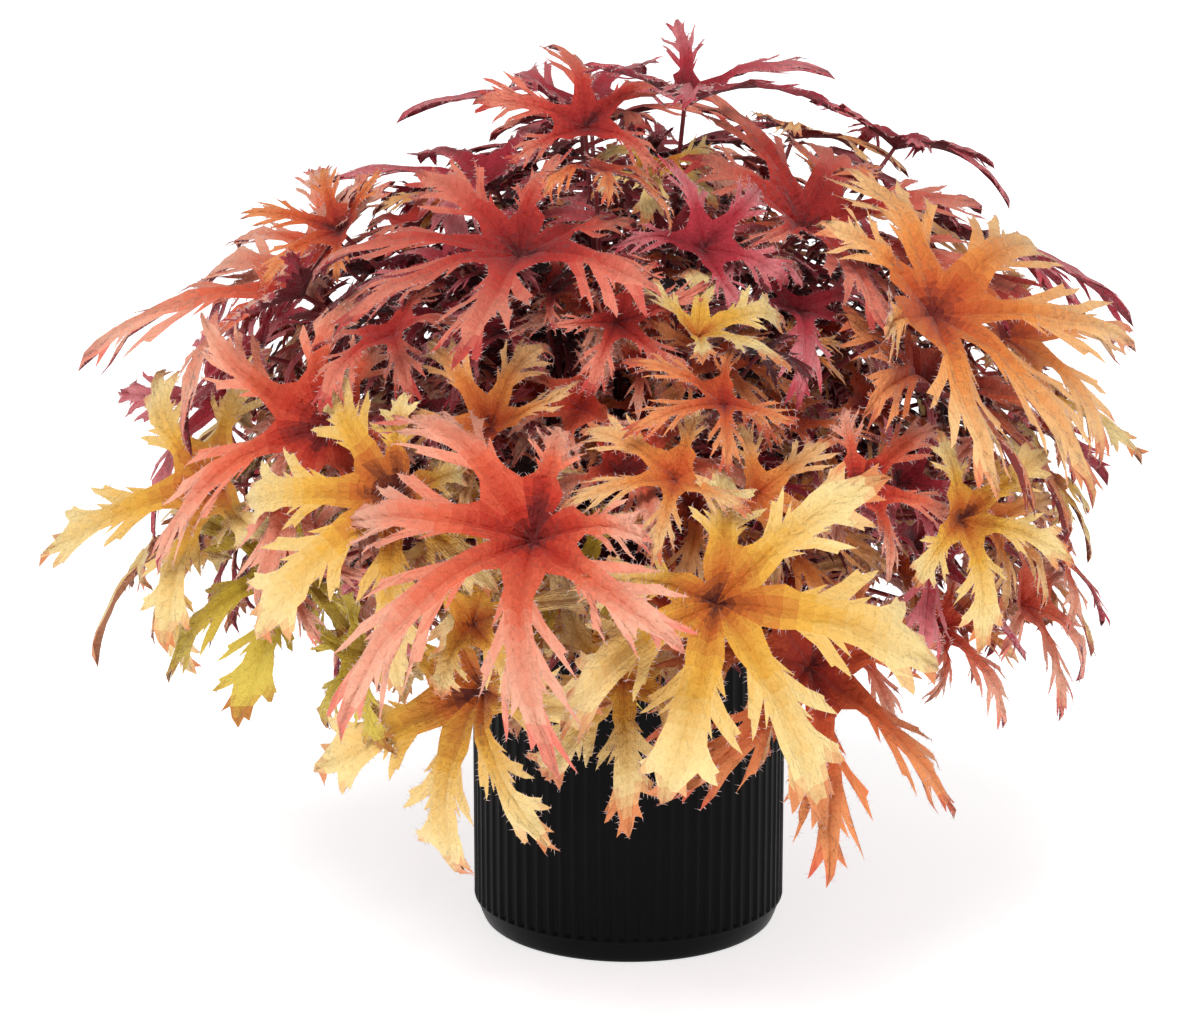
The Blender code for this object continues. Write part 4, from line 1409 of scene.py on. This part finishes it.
class CORALBELLS_OT_pot(bpy.types.Operator):
    """Models the fluted pot"""

    bl_idname = "coralbells.pot"
    bl_label = "Fluted pot"

    # Radius and height, from the middle of the underside, out, up, over the rim and down inside.
    PROFILE = (
        (0.0200, 0.0006), (0.0560, 0.0006), (0.0578, 0.0001), (0.0590, 0.0), (0.0600, 0.0003),
        (0.0608, 0.0010), (0.0614, 0.0021), (0.0622, 0.0040), (0.0630, 0.0062), (0.0637, 0.0083),
        (0.0640, 0.0094), (0.0641, 0.0096), (0.0648, 0.0099), (0.0650, 0.0106), (0.0650, 0.0120),
        (0.0650, 0.0480), (0.0650, 0.0900), (0.0650, 0.1345), (0.0650, 0.1362), (0.0653, 0.1369),
        (0.0653, 0.1399), (0.0651, 0.1404), (0.0648, 0.1405), (0.0636, 0.1405), (0.0633, 0.1403),
        (0.0632, 0.1397), (0.0612, 0.0700), (0.0592, 0.0045), (0.0586, 0.0030), (0.0300, 0.0030),
    )
    # How far the first, second and third column from a crest are drawn in, as shares of the
    # depth, and the part of the wall that is fluted.
    FLUTE = (0.62, 0.93, 1.0)
    FLUTE_LOW = 0.0119
    FLUTE_HIGH = 0.1346
    OUTSIDE = 0.0642

    def execute(self, context):
        settings = context.scene.coralbells_pot
        pot = turned("fluted_pot", RIB_COUNT * RIB_COLUMNS, self.PROFILE)
        self.flute(pot, settings.rib_depth)
        pot.select_set(True)
        bpy.ops.object.shade_smooth_by_angle(angle=math.radians(28))
        pot.data.materials.append(self.finish(settings))
        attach(pot, "root")
        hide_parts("pot")
        return {"FINISHED"}

    def flute(self, pot, depth):
        """Draws the columns between two crests in towards the axis."""
        columns = RIB_COUNT * RIB_COLUMNS
        with Editing(pot) as hand:
            for step, share in enumerate(self.FLUTE, 1):

                def in_flute(place):
                    is_wall = self.FLUTE_LOW < place.z < self.FLUTE_HIGH
                    if not is_wall or math.hypot(place.x, place.y) < self.OUTSIDE:
                        return False
                    turn = math.atan2(place.y, place.x) / math.tau
                    column = round(turn * columns) % RIB_COLUMNS
                    return min(column, RIB_COLUMNS - 1 - column) == step

                hand.choose("VERT", in_flute)
                size = 1.0 - depth * share / POT_RADIUS
                hand.stretch(size, size)

    def finish(self, settings):
        """Satin black plastic with faint moulding streaks and a little dust."""
        dark = tuple(settings.plastic)
        pale = tuple(channel * 2.1 + 0.002 for channel in dark)
        plastic = Finish("satin_black_plastic", dark, 0.30, {"Specular IOR Level": 0.05})
        place = plastic.place()
        inputs = {"Vector": place, "Scale": (1.0, 1.0, 0.06)}
        streak = plastic.noise(plastic.node("ShaderNodeMapping", None, inputs), 240.0)
        grain = plastic.noise(place, 2600.0, 2.0)
        dust = plastic.noise(place, 60.0, 4.0)
        plastic.set("Base Color", plastic.mix(dust * 0.55, dark, pale))
        plastic.set("Roughness", streak * 0.16 + dust * 0.10 + 0.24)
        plastic.bump(grain * 0.6 + streak * 0.4, 0.00012, 0.6)
        return plastic.material


class CORALBELLS_OT_soil(bpy.types.Operator):
    """Models the plug of potting mix and the crumbs of bark on it"""

    bl_idname = "coralbells.soil"
    bl_label = "Potting mix"

    RINGS = 26
    COLUMNS = 96
    FOOT = (0.0585, 0.0034)
    WALL_ROOM = 0.0007
    # The surface: how far it lies below the mix's level, the share of the radius that is flat, and
    # how far it drops from there to the edge.
    SINK = 0.0007
    FLAT_SHARE = 0.45
    EDGE_DROP = 0.003
    # Its lumps: how many in a metre, their fractal's roughness, growth and depth, and the share of
    # the radius past which they are small.
    LUMP_SCALE = 260.0
    LUMP_FRACTAL = (0.9, 2.1, 4)
    CALM_EDGE = 0.93
    CRUMBS = 420
    CRUMB_SIZES = (0.0007, 0.0021)
    BARE_FOOT = 0.002

    def execute(self, context):
        settings = context.scene.coralbells_mix
        radius = POT_RADIUS - POT_WALL - 2 * GAP - self.WALL_ROOM
        level = SOIL_LEVEL - self.EDGE_DROP
        rings = [(radius * (1.0 - ring / self.RINGS), level) for ring in range(self.RINGS)]
        soil = turned("potting_mix", self.COLUMNS, [self.FOOT, *rings])
        self.roughen(soil.data, radius, settings.lump)
        soil.data.shade_smooth()
        soil.data.materials.append(self.finish("damp_peat", settings, 900.0, 0.5))
        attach(soil, "root")
        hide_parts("soil")
        crumbs = self.crumbs(radius, settings.lump)
        crumbs.data.materials.append(self.finish("bark_crumbs", settings, 150.0, 0.8))
        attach(crumbs, "root")
        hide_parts("soil")
        return {"FINISHED"}

    def level(self, x, y, radius, lump):
        """The height of the mix's surface: lower at the edge, with soft lumps."""
        away = math.hypot(x, y) / radius
        drop = self.EDGE_DROP * max(0.0, (away - self.FLAT_SHARE) / (1.0 - self.FLAT_SHARE)) ** 2
        lumps = noise.fractal(Vector((x, y, 0.0)) * self.LUMP_SCALE, *self.LUMP_FRACTAL)
        height = 0.5 * lump * lumps * (1.0 if away < self.CALM_EDGE else 0.4)
        return SOIL_LEVEL - self.SINK - drop + height

    def roughen(self, mesh, radius, lump):
        """Moves the corners of the top to the surface."""
        for corner in mesh.vertices:
            place = corner.co
            if place.z > 0.1:
                place.z = self.level(place.x, place.y, radius, lump)

    def crumbs(self, radius, lump):
        """Crumbs of bark and grit: one ball, copied, turned and pressed flat."""
        ball = add(bpy.ops.mesh.primitive_ico_sphere_add, "crumb", subdivisions=1, radius=1.0)
        places, triangles = points_of(ball.data), triangles_of(ball.data)
        discard(ball)
        smallest, largest = self.CRUMB_SIZES
        chance = np.random.default_rng(SEED)
        heap = Heap()
        for _ in range(self.CRUMBS):
            away = radius * 0.95 * math.sqrt(chance.uniform(0.07, 1.0))
            around = chance.uniform(0, math.tau)
            size = smallest + (largest - smallest) * chance.random() ** 2
            width, thickness = size * chance.uniform(0.4, 0.9), size * chance.uniform(0.25, 0.5)
            shape = places * np.array([size, width, thickness])
            shape = shape * (1.0 + chance.normal(0.0, 0.12, (len(places), 1)))
            spin = Matrix.Rotation(chance.uniform(0, math.tau), 3, "Z")
            turn = spin @ Matrix.Rotation(chance.normal(0, 0.4), 3, "X")
            if away < ROOT_FOOT_RADIUS + self.BARE_FOOT:
                continue
            x, y = away * math.cos(around), away * math.sin(around)
            foot = np.array([x, y, self.level(x, y, radius, lump) + size * 0.15])
            heap.put(shape @ np.array(turn).T + foot, triangles)
        return heap.piece("bark_crumbs")

    def finish(self, name, settings, scale, lightness):
        """Damp peat with paler dry fibres, in patches of a scale."""
        dark, light = tuple(settings.dark), tuple(settings.light)
        peat = Finish(name, dark, 0.95, {"Specular IOR Level": 0.2})
        place = peat.place()
        patches = peat.noise(place, scale, 5.0, 0.7)
        peat.set("Base Color", peat.mix(patches * lightness, dark, light))
        peat.bump(peat.noise(place, 2200.0, 5.0, 0.7), 0.0006, 1.0)
        return peat.material


class CORALBELLS_OT_rootstock(bpy.types.Operator):
    """Models the short woody rootstock with its bark"""

    bl_idname = "coralbells.rootstock"
    bl_label = "Rootstock"

    ROWS = 40
    COLUMNS = 72
    # The bark's scales swell, so the body is thinner than the rootstock by these shares.
    FOOT_SHARE = 0.93
    BODY_SHARE = 0.95
    TOP_RINGS = (0.85, 0.6, 0.3)
    TOP_DIP = 0.0001

    def execute(self, context):
        settings = context.scene.coralbells_mix
        rise = (ROOT_TOP - ROOT_FOOT) / self.ROWS
        heights = [ROOT_FOOT + rise * row for row in range(1, self.ROWS + 1)]
        profile = [(ROOT_FOOT_RADIUS * self.FOOT_SHARE, ROOT_FOOT)]
        profile += [(root_radius(height) * self.BODY_SHARE, height) for height in heights]
        profile += [
            (share * ROOT_TOP_RADIUS * self.BODY_SHARE, heights[-1] - self.TOP_DIP * ring)
            for ring, share in enumerate(self.TOP_RINGS, 1)
        ]
        stock = turned("rootstock_bark", self.COLUMNS, profile)
        self.carve(stock.data)
        stock.data.shade_smooth()
        bark = Finish("scaly_bark", tuple(settings.bark), 0.85, {"Specular IOR Level": 0.2})
        place = bark.place()
        scales = bark.noise(place, 380.0, 4.0, 0.6)
        dark, pale = scaled(settings.bark, 0.35), scaled(settings.bark, 2.0)
        bark.set("Base Color", bark.mix(scales, dark, pale))
        bark.bump(scales, 0.0008, 1.0)
        stock.data.materials.append(bark.material)
        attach(stock, "root")
        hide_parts("rootstock")
        return {"FINISHED"}

    @staticmethod
    def carve(mesh):
        """Leaf scars in rings and rough plates between them."""
        for corner in mesh.vertices:
            place = corner.co
            if ROOT_FOOT + 5 * CLOSE < place.z < ROOT_TOP - 5 * CLOSE:
                around = math.atan2(place.y, place.x)
                ring = math.sin(place.z * 1500.0 + 1.3 * math.sin(3 * around))
                side = 3 * math.cos(around), 3 * math.sin(around)
                plates = noise.noise(Vector((*side, place.z * 220.0)))
                place.xy = place.xy * (0.98 + 0.018 * ring + 0.035 * plates)


class CORALBELLS_OT_leaves(bpy.types.Operator):
    """Grows the crown and cuts its leaves to their outline, with their fringe of hairs"""

    bl_idname = "coralbells.leaves"
    bl_label = "Leaves and hairs"

    BROAD_TINTS = ("gold", "olive")
    SLOTS = {
        "gold": "leaf_gold", "olive": "leaf_gold", "amber": "leaf_gold",
        "coral": "leaf_coral", "rust": "leaf_coral",
        "rose": "leaf_wine", "brick": "leaf_wine", "wine": "leaf_wine", "dusk": "leaf_wine",
    }
    # How freely a blade bends at each attempt to keep clear of the others.
    PLAYS = (1.0, 1.0, 0.9, 0.8, 0.65, 0.5, 0.3, 0.1)
    SHAPES_OF_A_KIND = 3
    FEWEST_LEAVES = 150
    UNDERSIDE_ROUGHNESS = 0.62
    ZONE_SHIFT = 0.05
    # How far a deep leaf's zones move towards the dark heart colours: painted shade for the crown's
    # inside.
    DEPTH_SHADE_SHIFT = 0.45

    def execute(self, context):
        settings = context.scene.coralbells_crown
        crown = grow()
        fill_between(crown)
        if len(crown.rooms) < self.FEWEST_LEAVES:
            raise RuntimeError("the crown has too few leaves")
        CROWN.append(crown)
        shapes = self.shapes()
        heaps = {tint: Heap() for tint in TINTS}
        masses = {tint: set() for tint in TINTS}
        fringe = Fringe(settings)
        grown = []
        for number, room in enumerate(crown.rooms):
            leaf = room.leaf
            shape = shapes[self.kind_of(leaf), len(leaf.lobes)][number % self.SHAPES_OF_A_KIND]
            chance, corners = self.clear_blade(leaf, shape, settings.thickness, number, grown)
            # Deeper leaves take darker zones, as painted shade.
            shift = chance.normal(0.0, self.ZONE_SHIFT) - self.DEPTH_SHADE_SHIFT * leaf.depth
            upper = zones_of(shape, chance, shift)
            lower = ZONES + (shape.face_along > UNDERSIDE_BORDER).astype(int)
            slots = np.concatenate([upper, lower, np.full(len(shape.walls), ZONES - 1)])
            heaps[leaf.tint].put(corners, shape.triangles, slots, shape.creases, shape.veins)
            masses[leaf.tint].add(leaf.mass.name)
            fringe.grow_on(corners, shape, chance, leaf.depth)
        for tint, heap in heaps.items():
            if not heap.points:
                continue
            piece = heap.piece(f"leaves_{tint}")
            for finish in self.finishes(tint, settings.gloss):
                piece.data.materials.append(finish)
            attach(piece, "root")
            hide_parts(*sorted(masses[tint]))
        everywhere = sorted(mass.name for mass in crown.masses)
        skin = Finish("leaf_hair", tuple(settings.hair), 0.5, {"Sheen Weight": 0.3})
        skin.set("Roughness", skin.noise(skin.place(), 300.0) * 0.3 + 0.35)
        for number, heap in enumerate(fringe.heaps, 1):
            piece = heap.piece(f"leaf_hairs_{number}")
            piece.data.materials.append(skin.material)
            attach(piece, "root")
            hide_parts(*everywhere)
        return {"FINISHED"}

    def kind_of(self, leaf):
        """Small inner leaves are plain, yellow ones are broad, and the rest are finely cut."""
        if leaf.depth > 0.0:
            return "plain"
        return "broad" if leaf.tint in self.BROAD_TINTS else "cut"

    def finishes(self, tint, roughness):
        """A tint's finishes: one for each zone of the upper side, and two for the underside."""
        for zone in range(ZONES):
            at = ((zone + 0.5) / ZONES) ** ZONE_SPREAD
            base = gradient(TINTS[tint], TINT_PLACES, at)
            yield leaf_finish(f"{tint}_leaf_{zone}", base, roughness)
        for side, stop in zip(("inner", "outer"), UNDERSIDES[tint]):
            name = f"{tint}_underside_{side}"
            yield leaf_finish(name, tone(*stop), self.UNDERSIDE_ROUGHNESS)

    def clear_blade(self, leaf, shape, thickness, number, grown):
        """The leaf's corners from the attempt that crosses the fewest blades grown so far."""
        best = None
        for attempt, play in enumerate(self.PLAYS):
            chance = np.random.default_rng(SEED * 100 + number + 7000 * attempt)
            corners = Blade(leaf, shape, chance, play).corners(thickness)
            low, high = corners.min(0), corners.max(0)
            blade = BVHTree.FromPolygons(corners.tolist(), shape.over.tolist())
            crossings = sum(
                len(blade.overlap(other)) for other, least, most in grown
                if (least < high).all() and (most > low).all()
            )
            if best is None or crossings < best[0]:
                best = crossings, chance, corners, (blade, low, high)
            if not crossings:
                break
        grown.append(best[3])
        return best[1], best[2]

    def shapes(self):
        """The blades that leaves are copied from: cut, broad or plain, of five or seven lobes."""
        lobes = {
            "cut": Lobe("cut_lobe", 4, CUT_ROWS, CUT_SIDES, CUT_TEETH),
            "broad": Lobe("broad_lobe", 4, BROAD_ROWS, BROAD_SIDES, BROAD_TEETH),
            "plain": Lobe("plain_lobe", 2, PLAIN_ROWS, PLAIN_SIDES),
        }
        chance = random.Random(SEED)
        shapes = {}
        for kind, lobe in lobes.items():
            for count in (5, 7):
                shapes[kind, count] = [
                    LeafShape(lobe, count, [chance.choice((1, -1)) for _ in range(count)])
                    for _ in range(self.SHAPES_OF_A_KIND)
                ]
        return shapes


class Fringe:
    """Fine hairs along the outlines of the leaves: closed spikes of four faces."""

    SPIKE = np.array([(0, 2, 1), (0, 1, 3), (1, 2, 3), (2, 0, 3)])
    MOST_FACES = 190000
    # Hairs are sparser on leaves deep in the crown, and on those whose hub is behind a line.
    DEPTH_SPARSENESS = 9.0
    BACK_SPARSENESS = 2.4
    BACK = 0.03
    # Middle and spread of a hair's lean along the outline and rise from the blade.
    LEAN = (0.15, 0.35)
    RISE = (0.10, 0.45)
    LENGTHS = (0.45, 1.25)

    def __init__(self, settings):
        self.settings = settings
        self.heaps = [Heap()]

    def grow_on(self, corners, shape, chance, depth):
        """Adds one leaf's hairs, in a new heap where the last is full."""
        settings = self.settings
        start, end = corners[shape.border[:, 0]], corners[shape.border[:, 1]]
        span = end - start
        lengths = np.linalg.norm(span, axis=1)
        spacing = settings.hair_spacing * (1.0 + self.DEPTH_SPARSENESS * depth)
        if corners[0, 1] > self.BACK:
            spacing *= self.BACK_SPARSENESS
        wanted = lengths / spacing
        counts = np.floor(wanted + chance.random(len(wanted))).astype(int)
        edge = np.repeat(np.arange(len(counts)), counts)
        if not len(edge):
            return
        along = span / np.maximum(lengths, 1e-7)[:, None]
        facing = self.facing(corners, shape)
        outward = np.cross(along, facing)[edge]
        place = start[edge] + span[edge] * chance.random(len(edge))[:, None]
        lean = chance.normal(*self.LEAN, (len(edge), 1))
        rise = chance.normal(*self.RISE, (len(edge), 1))
        way = outward + along[edge] * lean + facing[edge] * rise
        way /= np.linalg.norm(way, axis=1)[:, None]
        size = settings.hair_length * chance.uniform(*self.LENGTHS, (len(edge), 1))
        half = settings.hair_width * 0.5
        first = np.cross(way, facing[edge])
        first /= np.maximum(np.linalg.norm(first, axis=1), 1e-6)[:, None]
        second = np.cross(way, first)
        foot = place - way * half
        ring = [
            foot + half * (math.cos(turn) * first + math.sin(turn) * second)
            for turn in np.arange(3) * math.tau / 3
        ]
        points = np.stack([*ring, place + way * size], 1).reshape(-1, 3)
        triangles = (np.arange(len(edge)) * 4)[:, None, None] + self.SPIKE[None]
        if self.heaps[-1].faces + len(self.SPIKE) * len(edge) > self.MOST_FACES:
            self.heaps.append(Heap())
        self.heaps[-1].put(points, triangles.reshape(-1, 3))

    @staticmethod
    def facing(corners, shape):
        """The way each edge's own leaf faces there."""
        over = shape.over
        a, b, c = corners[over[:, 0]], corners[over[:, 1]], corners[over[:, 2]]
        normal = np.cross(b - a, c - a)
        at_corner = np.zeros((len(corners), 3))
        for place in range(3):
            np.add.at(at_corner, over[:, place], normal)
        at_edge = at_corner[shape.border[:, 0]] + at_corner[shape.border[:, 1]]
        return at_edge / np.maximum(np.linalg.norm(at_edge, axis=1), 1e-12)[:, None]


# The crown that the leaves' operator grew, for the petioles' operator.
CROWN = []


class CORALBELLS_OT_petioles(bpy.types.Operator):
    """Models the stems and petioles"""

    bl_idname = "coralbells.petioles"
    bl_label = "Stems and petioles"

    SIDES = 7
    ROWS = 9
    PATH_POINTS = 12
    STEM_POINTS = 7

    def execute(self, context):
        settings = context.scene.coralbells_crown
        crown = CROWN[-1]
        rod = add(
            bpy.ops.mesh.primitive_cylinder_add, "rod", vertices=self.SIDES, radius=1.0, depth=1.0,
            end_fill_type="TRIFAN", location=(0.0, 0.0, 0.5),
        )
        bpy.ops.object.transform_apply(location=True)
        with Editing(rod) as hand:
            bpy.ops.mesh.select_mode(type="EDGE")
            bpy.ops.mesh.select_all(action="DESELECT")
            shape = bmesh.from_edit_mesh(rod.data)
            for edge in shape.edges:
                edge.select_set(abs(edge.verts[0].co.z - edge.verts[1].co.z) > 0.5)
            bmesh.update_edit_mesh(rod.data)
            bpy.ops.mesh.subdivide_edgering(number_cuts=self.ROWS, interpolation="LINEAR")
        places, triangles = points_of(rod.data), triangles_of(rod.data)
        discard(rod)
        heap = Heap()
        chance = np.random.default_rng(SEED)
        up = places[:, 2]
        rims = np.array([
            (a, b) for face in triangles for a, b in zip(face, np.roll(face, -1))
            if abs(up[a] - up[b]) < CLOSE and min(up[a], 1 - up[a]) < CLOSE
        ])
        for room in crown.rooms:
            leaf = room.leaf
            end = leaf.end.lerp(leaf.hub, 0.6) - leaf.normal * 0.0004
            path = leaf.petiole(self.PATH_POINTS, end)
            shape = bent(places, path, PETIOLE_RADIUS, PETIOLE_TIP_RADIUS, chance)
            heap.put(shape, triangles, None, rims)
        for mass in crown.masses:
            steps = range(self.STEM_POINTS)
            path = [mass.foot.lerp(mass.tip, step / steps[-1]) for step in steps]
            shape = bent(places, path, STEM_RADIUS, STEM_TIP_RADIUS, chance)
            heap.put(shape, triangles, None, rims)
        piece = heap.piece("petioles")
        skin = Finish("petiole_skin", tuple(settings.petiole), 0.5, {"Sheen Weight": 0.2})
        place = skin.place()
        patches = skin.noise(place, 90.0)
        dark, pale = scaled(settings.petiole, 0.45), scaled(settings.petiole, 1.7)
        skin.set("Base Color", skin.mix(patches, dark, pale))
        skin.bump(skin.noise(place, 1800.0, 2.0), 0.0003, 0.8)
        piece.data.materials.append(skin.material)
        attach(piece, "root")
        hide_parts(*sorted(mass.name for mass in crown.masses))
        return {"FINISHED"}


def bent(places, path, radius, tip_radius, chance):
    """A straight rod of unit height laid along a path, tapering, a little uneven."""
    line = np.array(path)
    height = np.clip(places[:, 2], 0.0, 1.0)
    at = height * (len(line) - 1)
    low = np.minimum(at.astype(int), len(line) - 2)
    share = (at - low)[:, None]
    middle = line[low] * (1 - share) + line[low + 1] * share
    way = line[low + 1] - line[low]
    way /= np.linalg.norm(way, axis=1)[:, None]
    across = np.cross(way, np.array(ASKEW))
    across /= np.linalg.norm(across, axis=1)[:, None]
    other = np.cross(way, across)
    size = (radius + (tip_radius - radius) * height) * (1.0 + chance.normal(0.0, 0.04, len(height)))
    return middle + (across * places[:, 0, None] + other * places[:, 1, None]) * size[:, None]


class CORALBELLS_OT_stage(bpy.types.Operator):
    """Sets the pale floor, the soft light and the camera"""

    bl_idname = "coralbells.stage"
    bl_label = "Stage"

    AIM = Vector((-0.012, 0.0, 0.173))
    DISTANCE = 1.6
    HEIGHT_ANGLE = 14.5
    SENSOR = 36.0
    LENS = 116.55
    # Name, setting, azimuth, height angle and spread of each light.
    LIGHTS = (("soft_key", "key", -18, 58, 30), ("low_front", "low", 24, 14, 70))
    LIGHT_DISTANCE = 3.0

    def execute(self, context):
        settings = context.scene.coralbells_stage
        floor = add(bpy.ops.mesh.primitive_plane_add, "floor", size=settings.floor_side)
        glow = {"Specular IOR Level": 0.1, "Emission Strength": settings.glow}
        paper = Finish("pale_paper", tuple(settings.floor), 0.9, glow)
        paper.set("Emission Color", tuple(settings.floor))
        floor.data.materials.append(paper.material)
        floor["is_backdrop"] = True
        world = bpy.data.worlds.new("soft_light")
        world.use_nodes = True
        background = world.node_tree.nodes["Background"]
        background.inputs["Color"].default_value = (1.0, 1.0, 1.0, 1.0)
        background.inputs["Strength"].default_value = settings.fill
        context.scene.world = world
        context.scene.view_settings.view_transform = "Standard"
        for name, strength, azimuth, height, spread in self.LIGHTS:
            self.light(name, getattr(settings, strength), direction(azimuth, height), spread)
        camera = bpy.data.objects.new("camera", bpy.data.cameras.new("camera"))
        context.scene.collection.objects.link(camera)
        camera.data.sensor_width = self.SENSOR
        camera.data.lens = self.LENS
        camera.location = self.AIM + direction(0, self.HEIGHT_ANGLE) * self.DISTANCE
        camera.rotation_euler = (self.AIM - camera.location).to_track_quat("-Z", "Y").to_euler()
        context.scene.camera = camera
        return {"FINISHED"}

    def light(self, name, energy, way, spread):
        """A far soft light that shines from a way."""
        bpy.ops.object.light_add(type="SUN", location=way * self.LIGHT_DISTANCE)
        sun = bpy.context.object
        sun.name = name
        sun.data.energy = energy
        sun.data.angle = math.radians(spread)
        sun.rotation_euler = (-way).to_track_quat("-Z", "Y").to_euler()


class CORALBELLS_PT_panel(bpy.types.Panel):
    """Lists the pieces and their settings"""

    bl_idname = "CORALBELLS_PT_panel"
    bl_label = "Potted coral bells"
    bl_space_type = "VIEW_3D"
    bl_region_type = "UI"
    bl_category = "Coral bells"

    def draw(self, context):
        scene = context.scene
        for label in ("pot", "mix", "crown", "stage"):
            settings = getattr(scene, f"coralbells_{label}")
            box = self.layout.box()
            for entry in settings.bl_rna.properties:
                if entry.identifier not in {"rna_type", "name"}:
                    box.prop(settings, entry.identifier)
        for operator in OPERATORS:
            self.layout.operator(operator.bl_idname)


SETTINGS = {
    "coralbells_pot": PotSettings,
    "coralbells_mix": MixSettings,
    "coralbells_crown": CrownSettings,
    "coralbells_stage": StageSettings,
}
OPERATORS = (
    CORALBELLS_OT_stage,
    CORALBELLS_OT_pot,
    CORALBELLS_OT_soil,
    CORALBELLS_OT_rootstock,
    CORALBELLS_OT_leaves,
    CORALBELLS_OT_petioles,
)


def register():
    for label, group in SETTINGS.items():
        bpy.utils.register_class(group)
        setattr(bpy.types.Scene, label, bpy.props.PointerProperty(type=group))
    for operator in OPERATORS:
        bpy.utils.register_class(operator)
    bpy.utils.register_class(CORALBELLS_PT_panel)


def unregister():
    bpy.utils.unregister_class(CORALBELLS_PT_panel)
    for operator in reversed(OPERATORS):
        bpy.utils.unregister_class(operator)
    for label, group in SETTINGS.items():
        delattr(bpy.types.Scene, label)
        bpy.utils.unregister_class(group)


def main():
    """Registers the add-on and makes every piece."""
    register()
    for operator in OPERATORS:
        group, name = operator.bl_idname.split(".")
        getattr(getattr(bpy.ops, group), name)()
    boxes = {"cad": CAD_BOX, "visual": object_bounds()}
    {name: [list(corner) for corner in box] for name, box in boxes.items()}


if __name__ == "__main__":
    main()
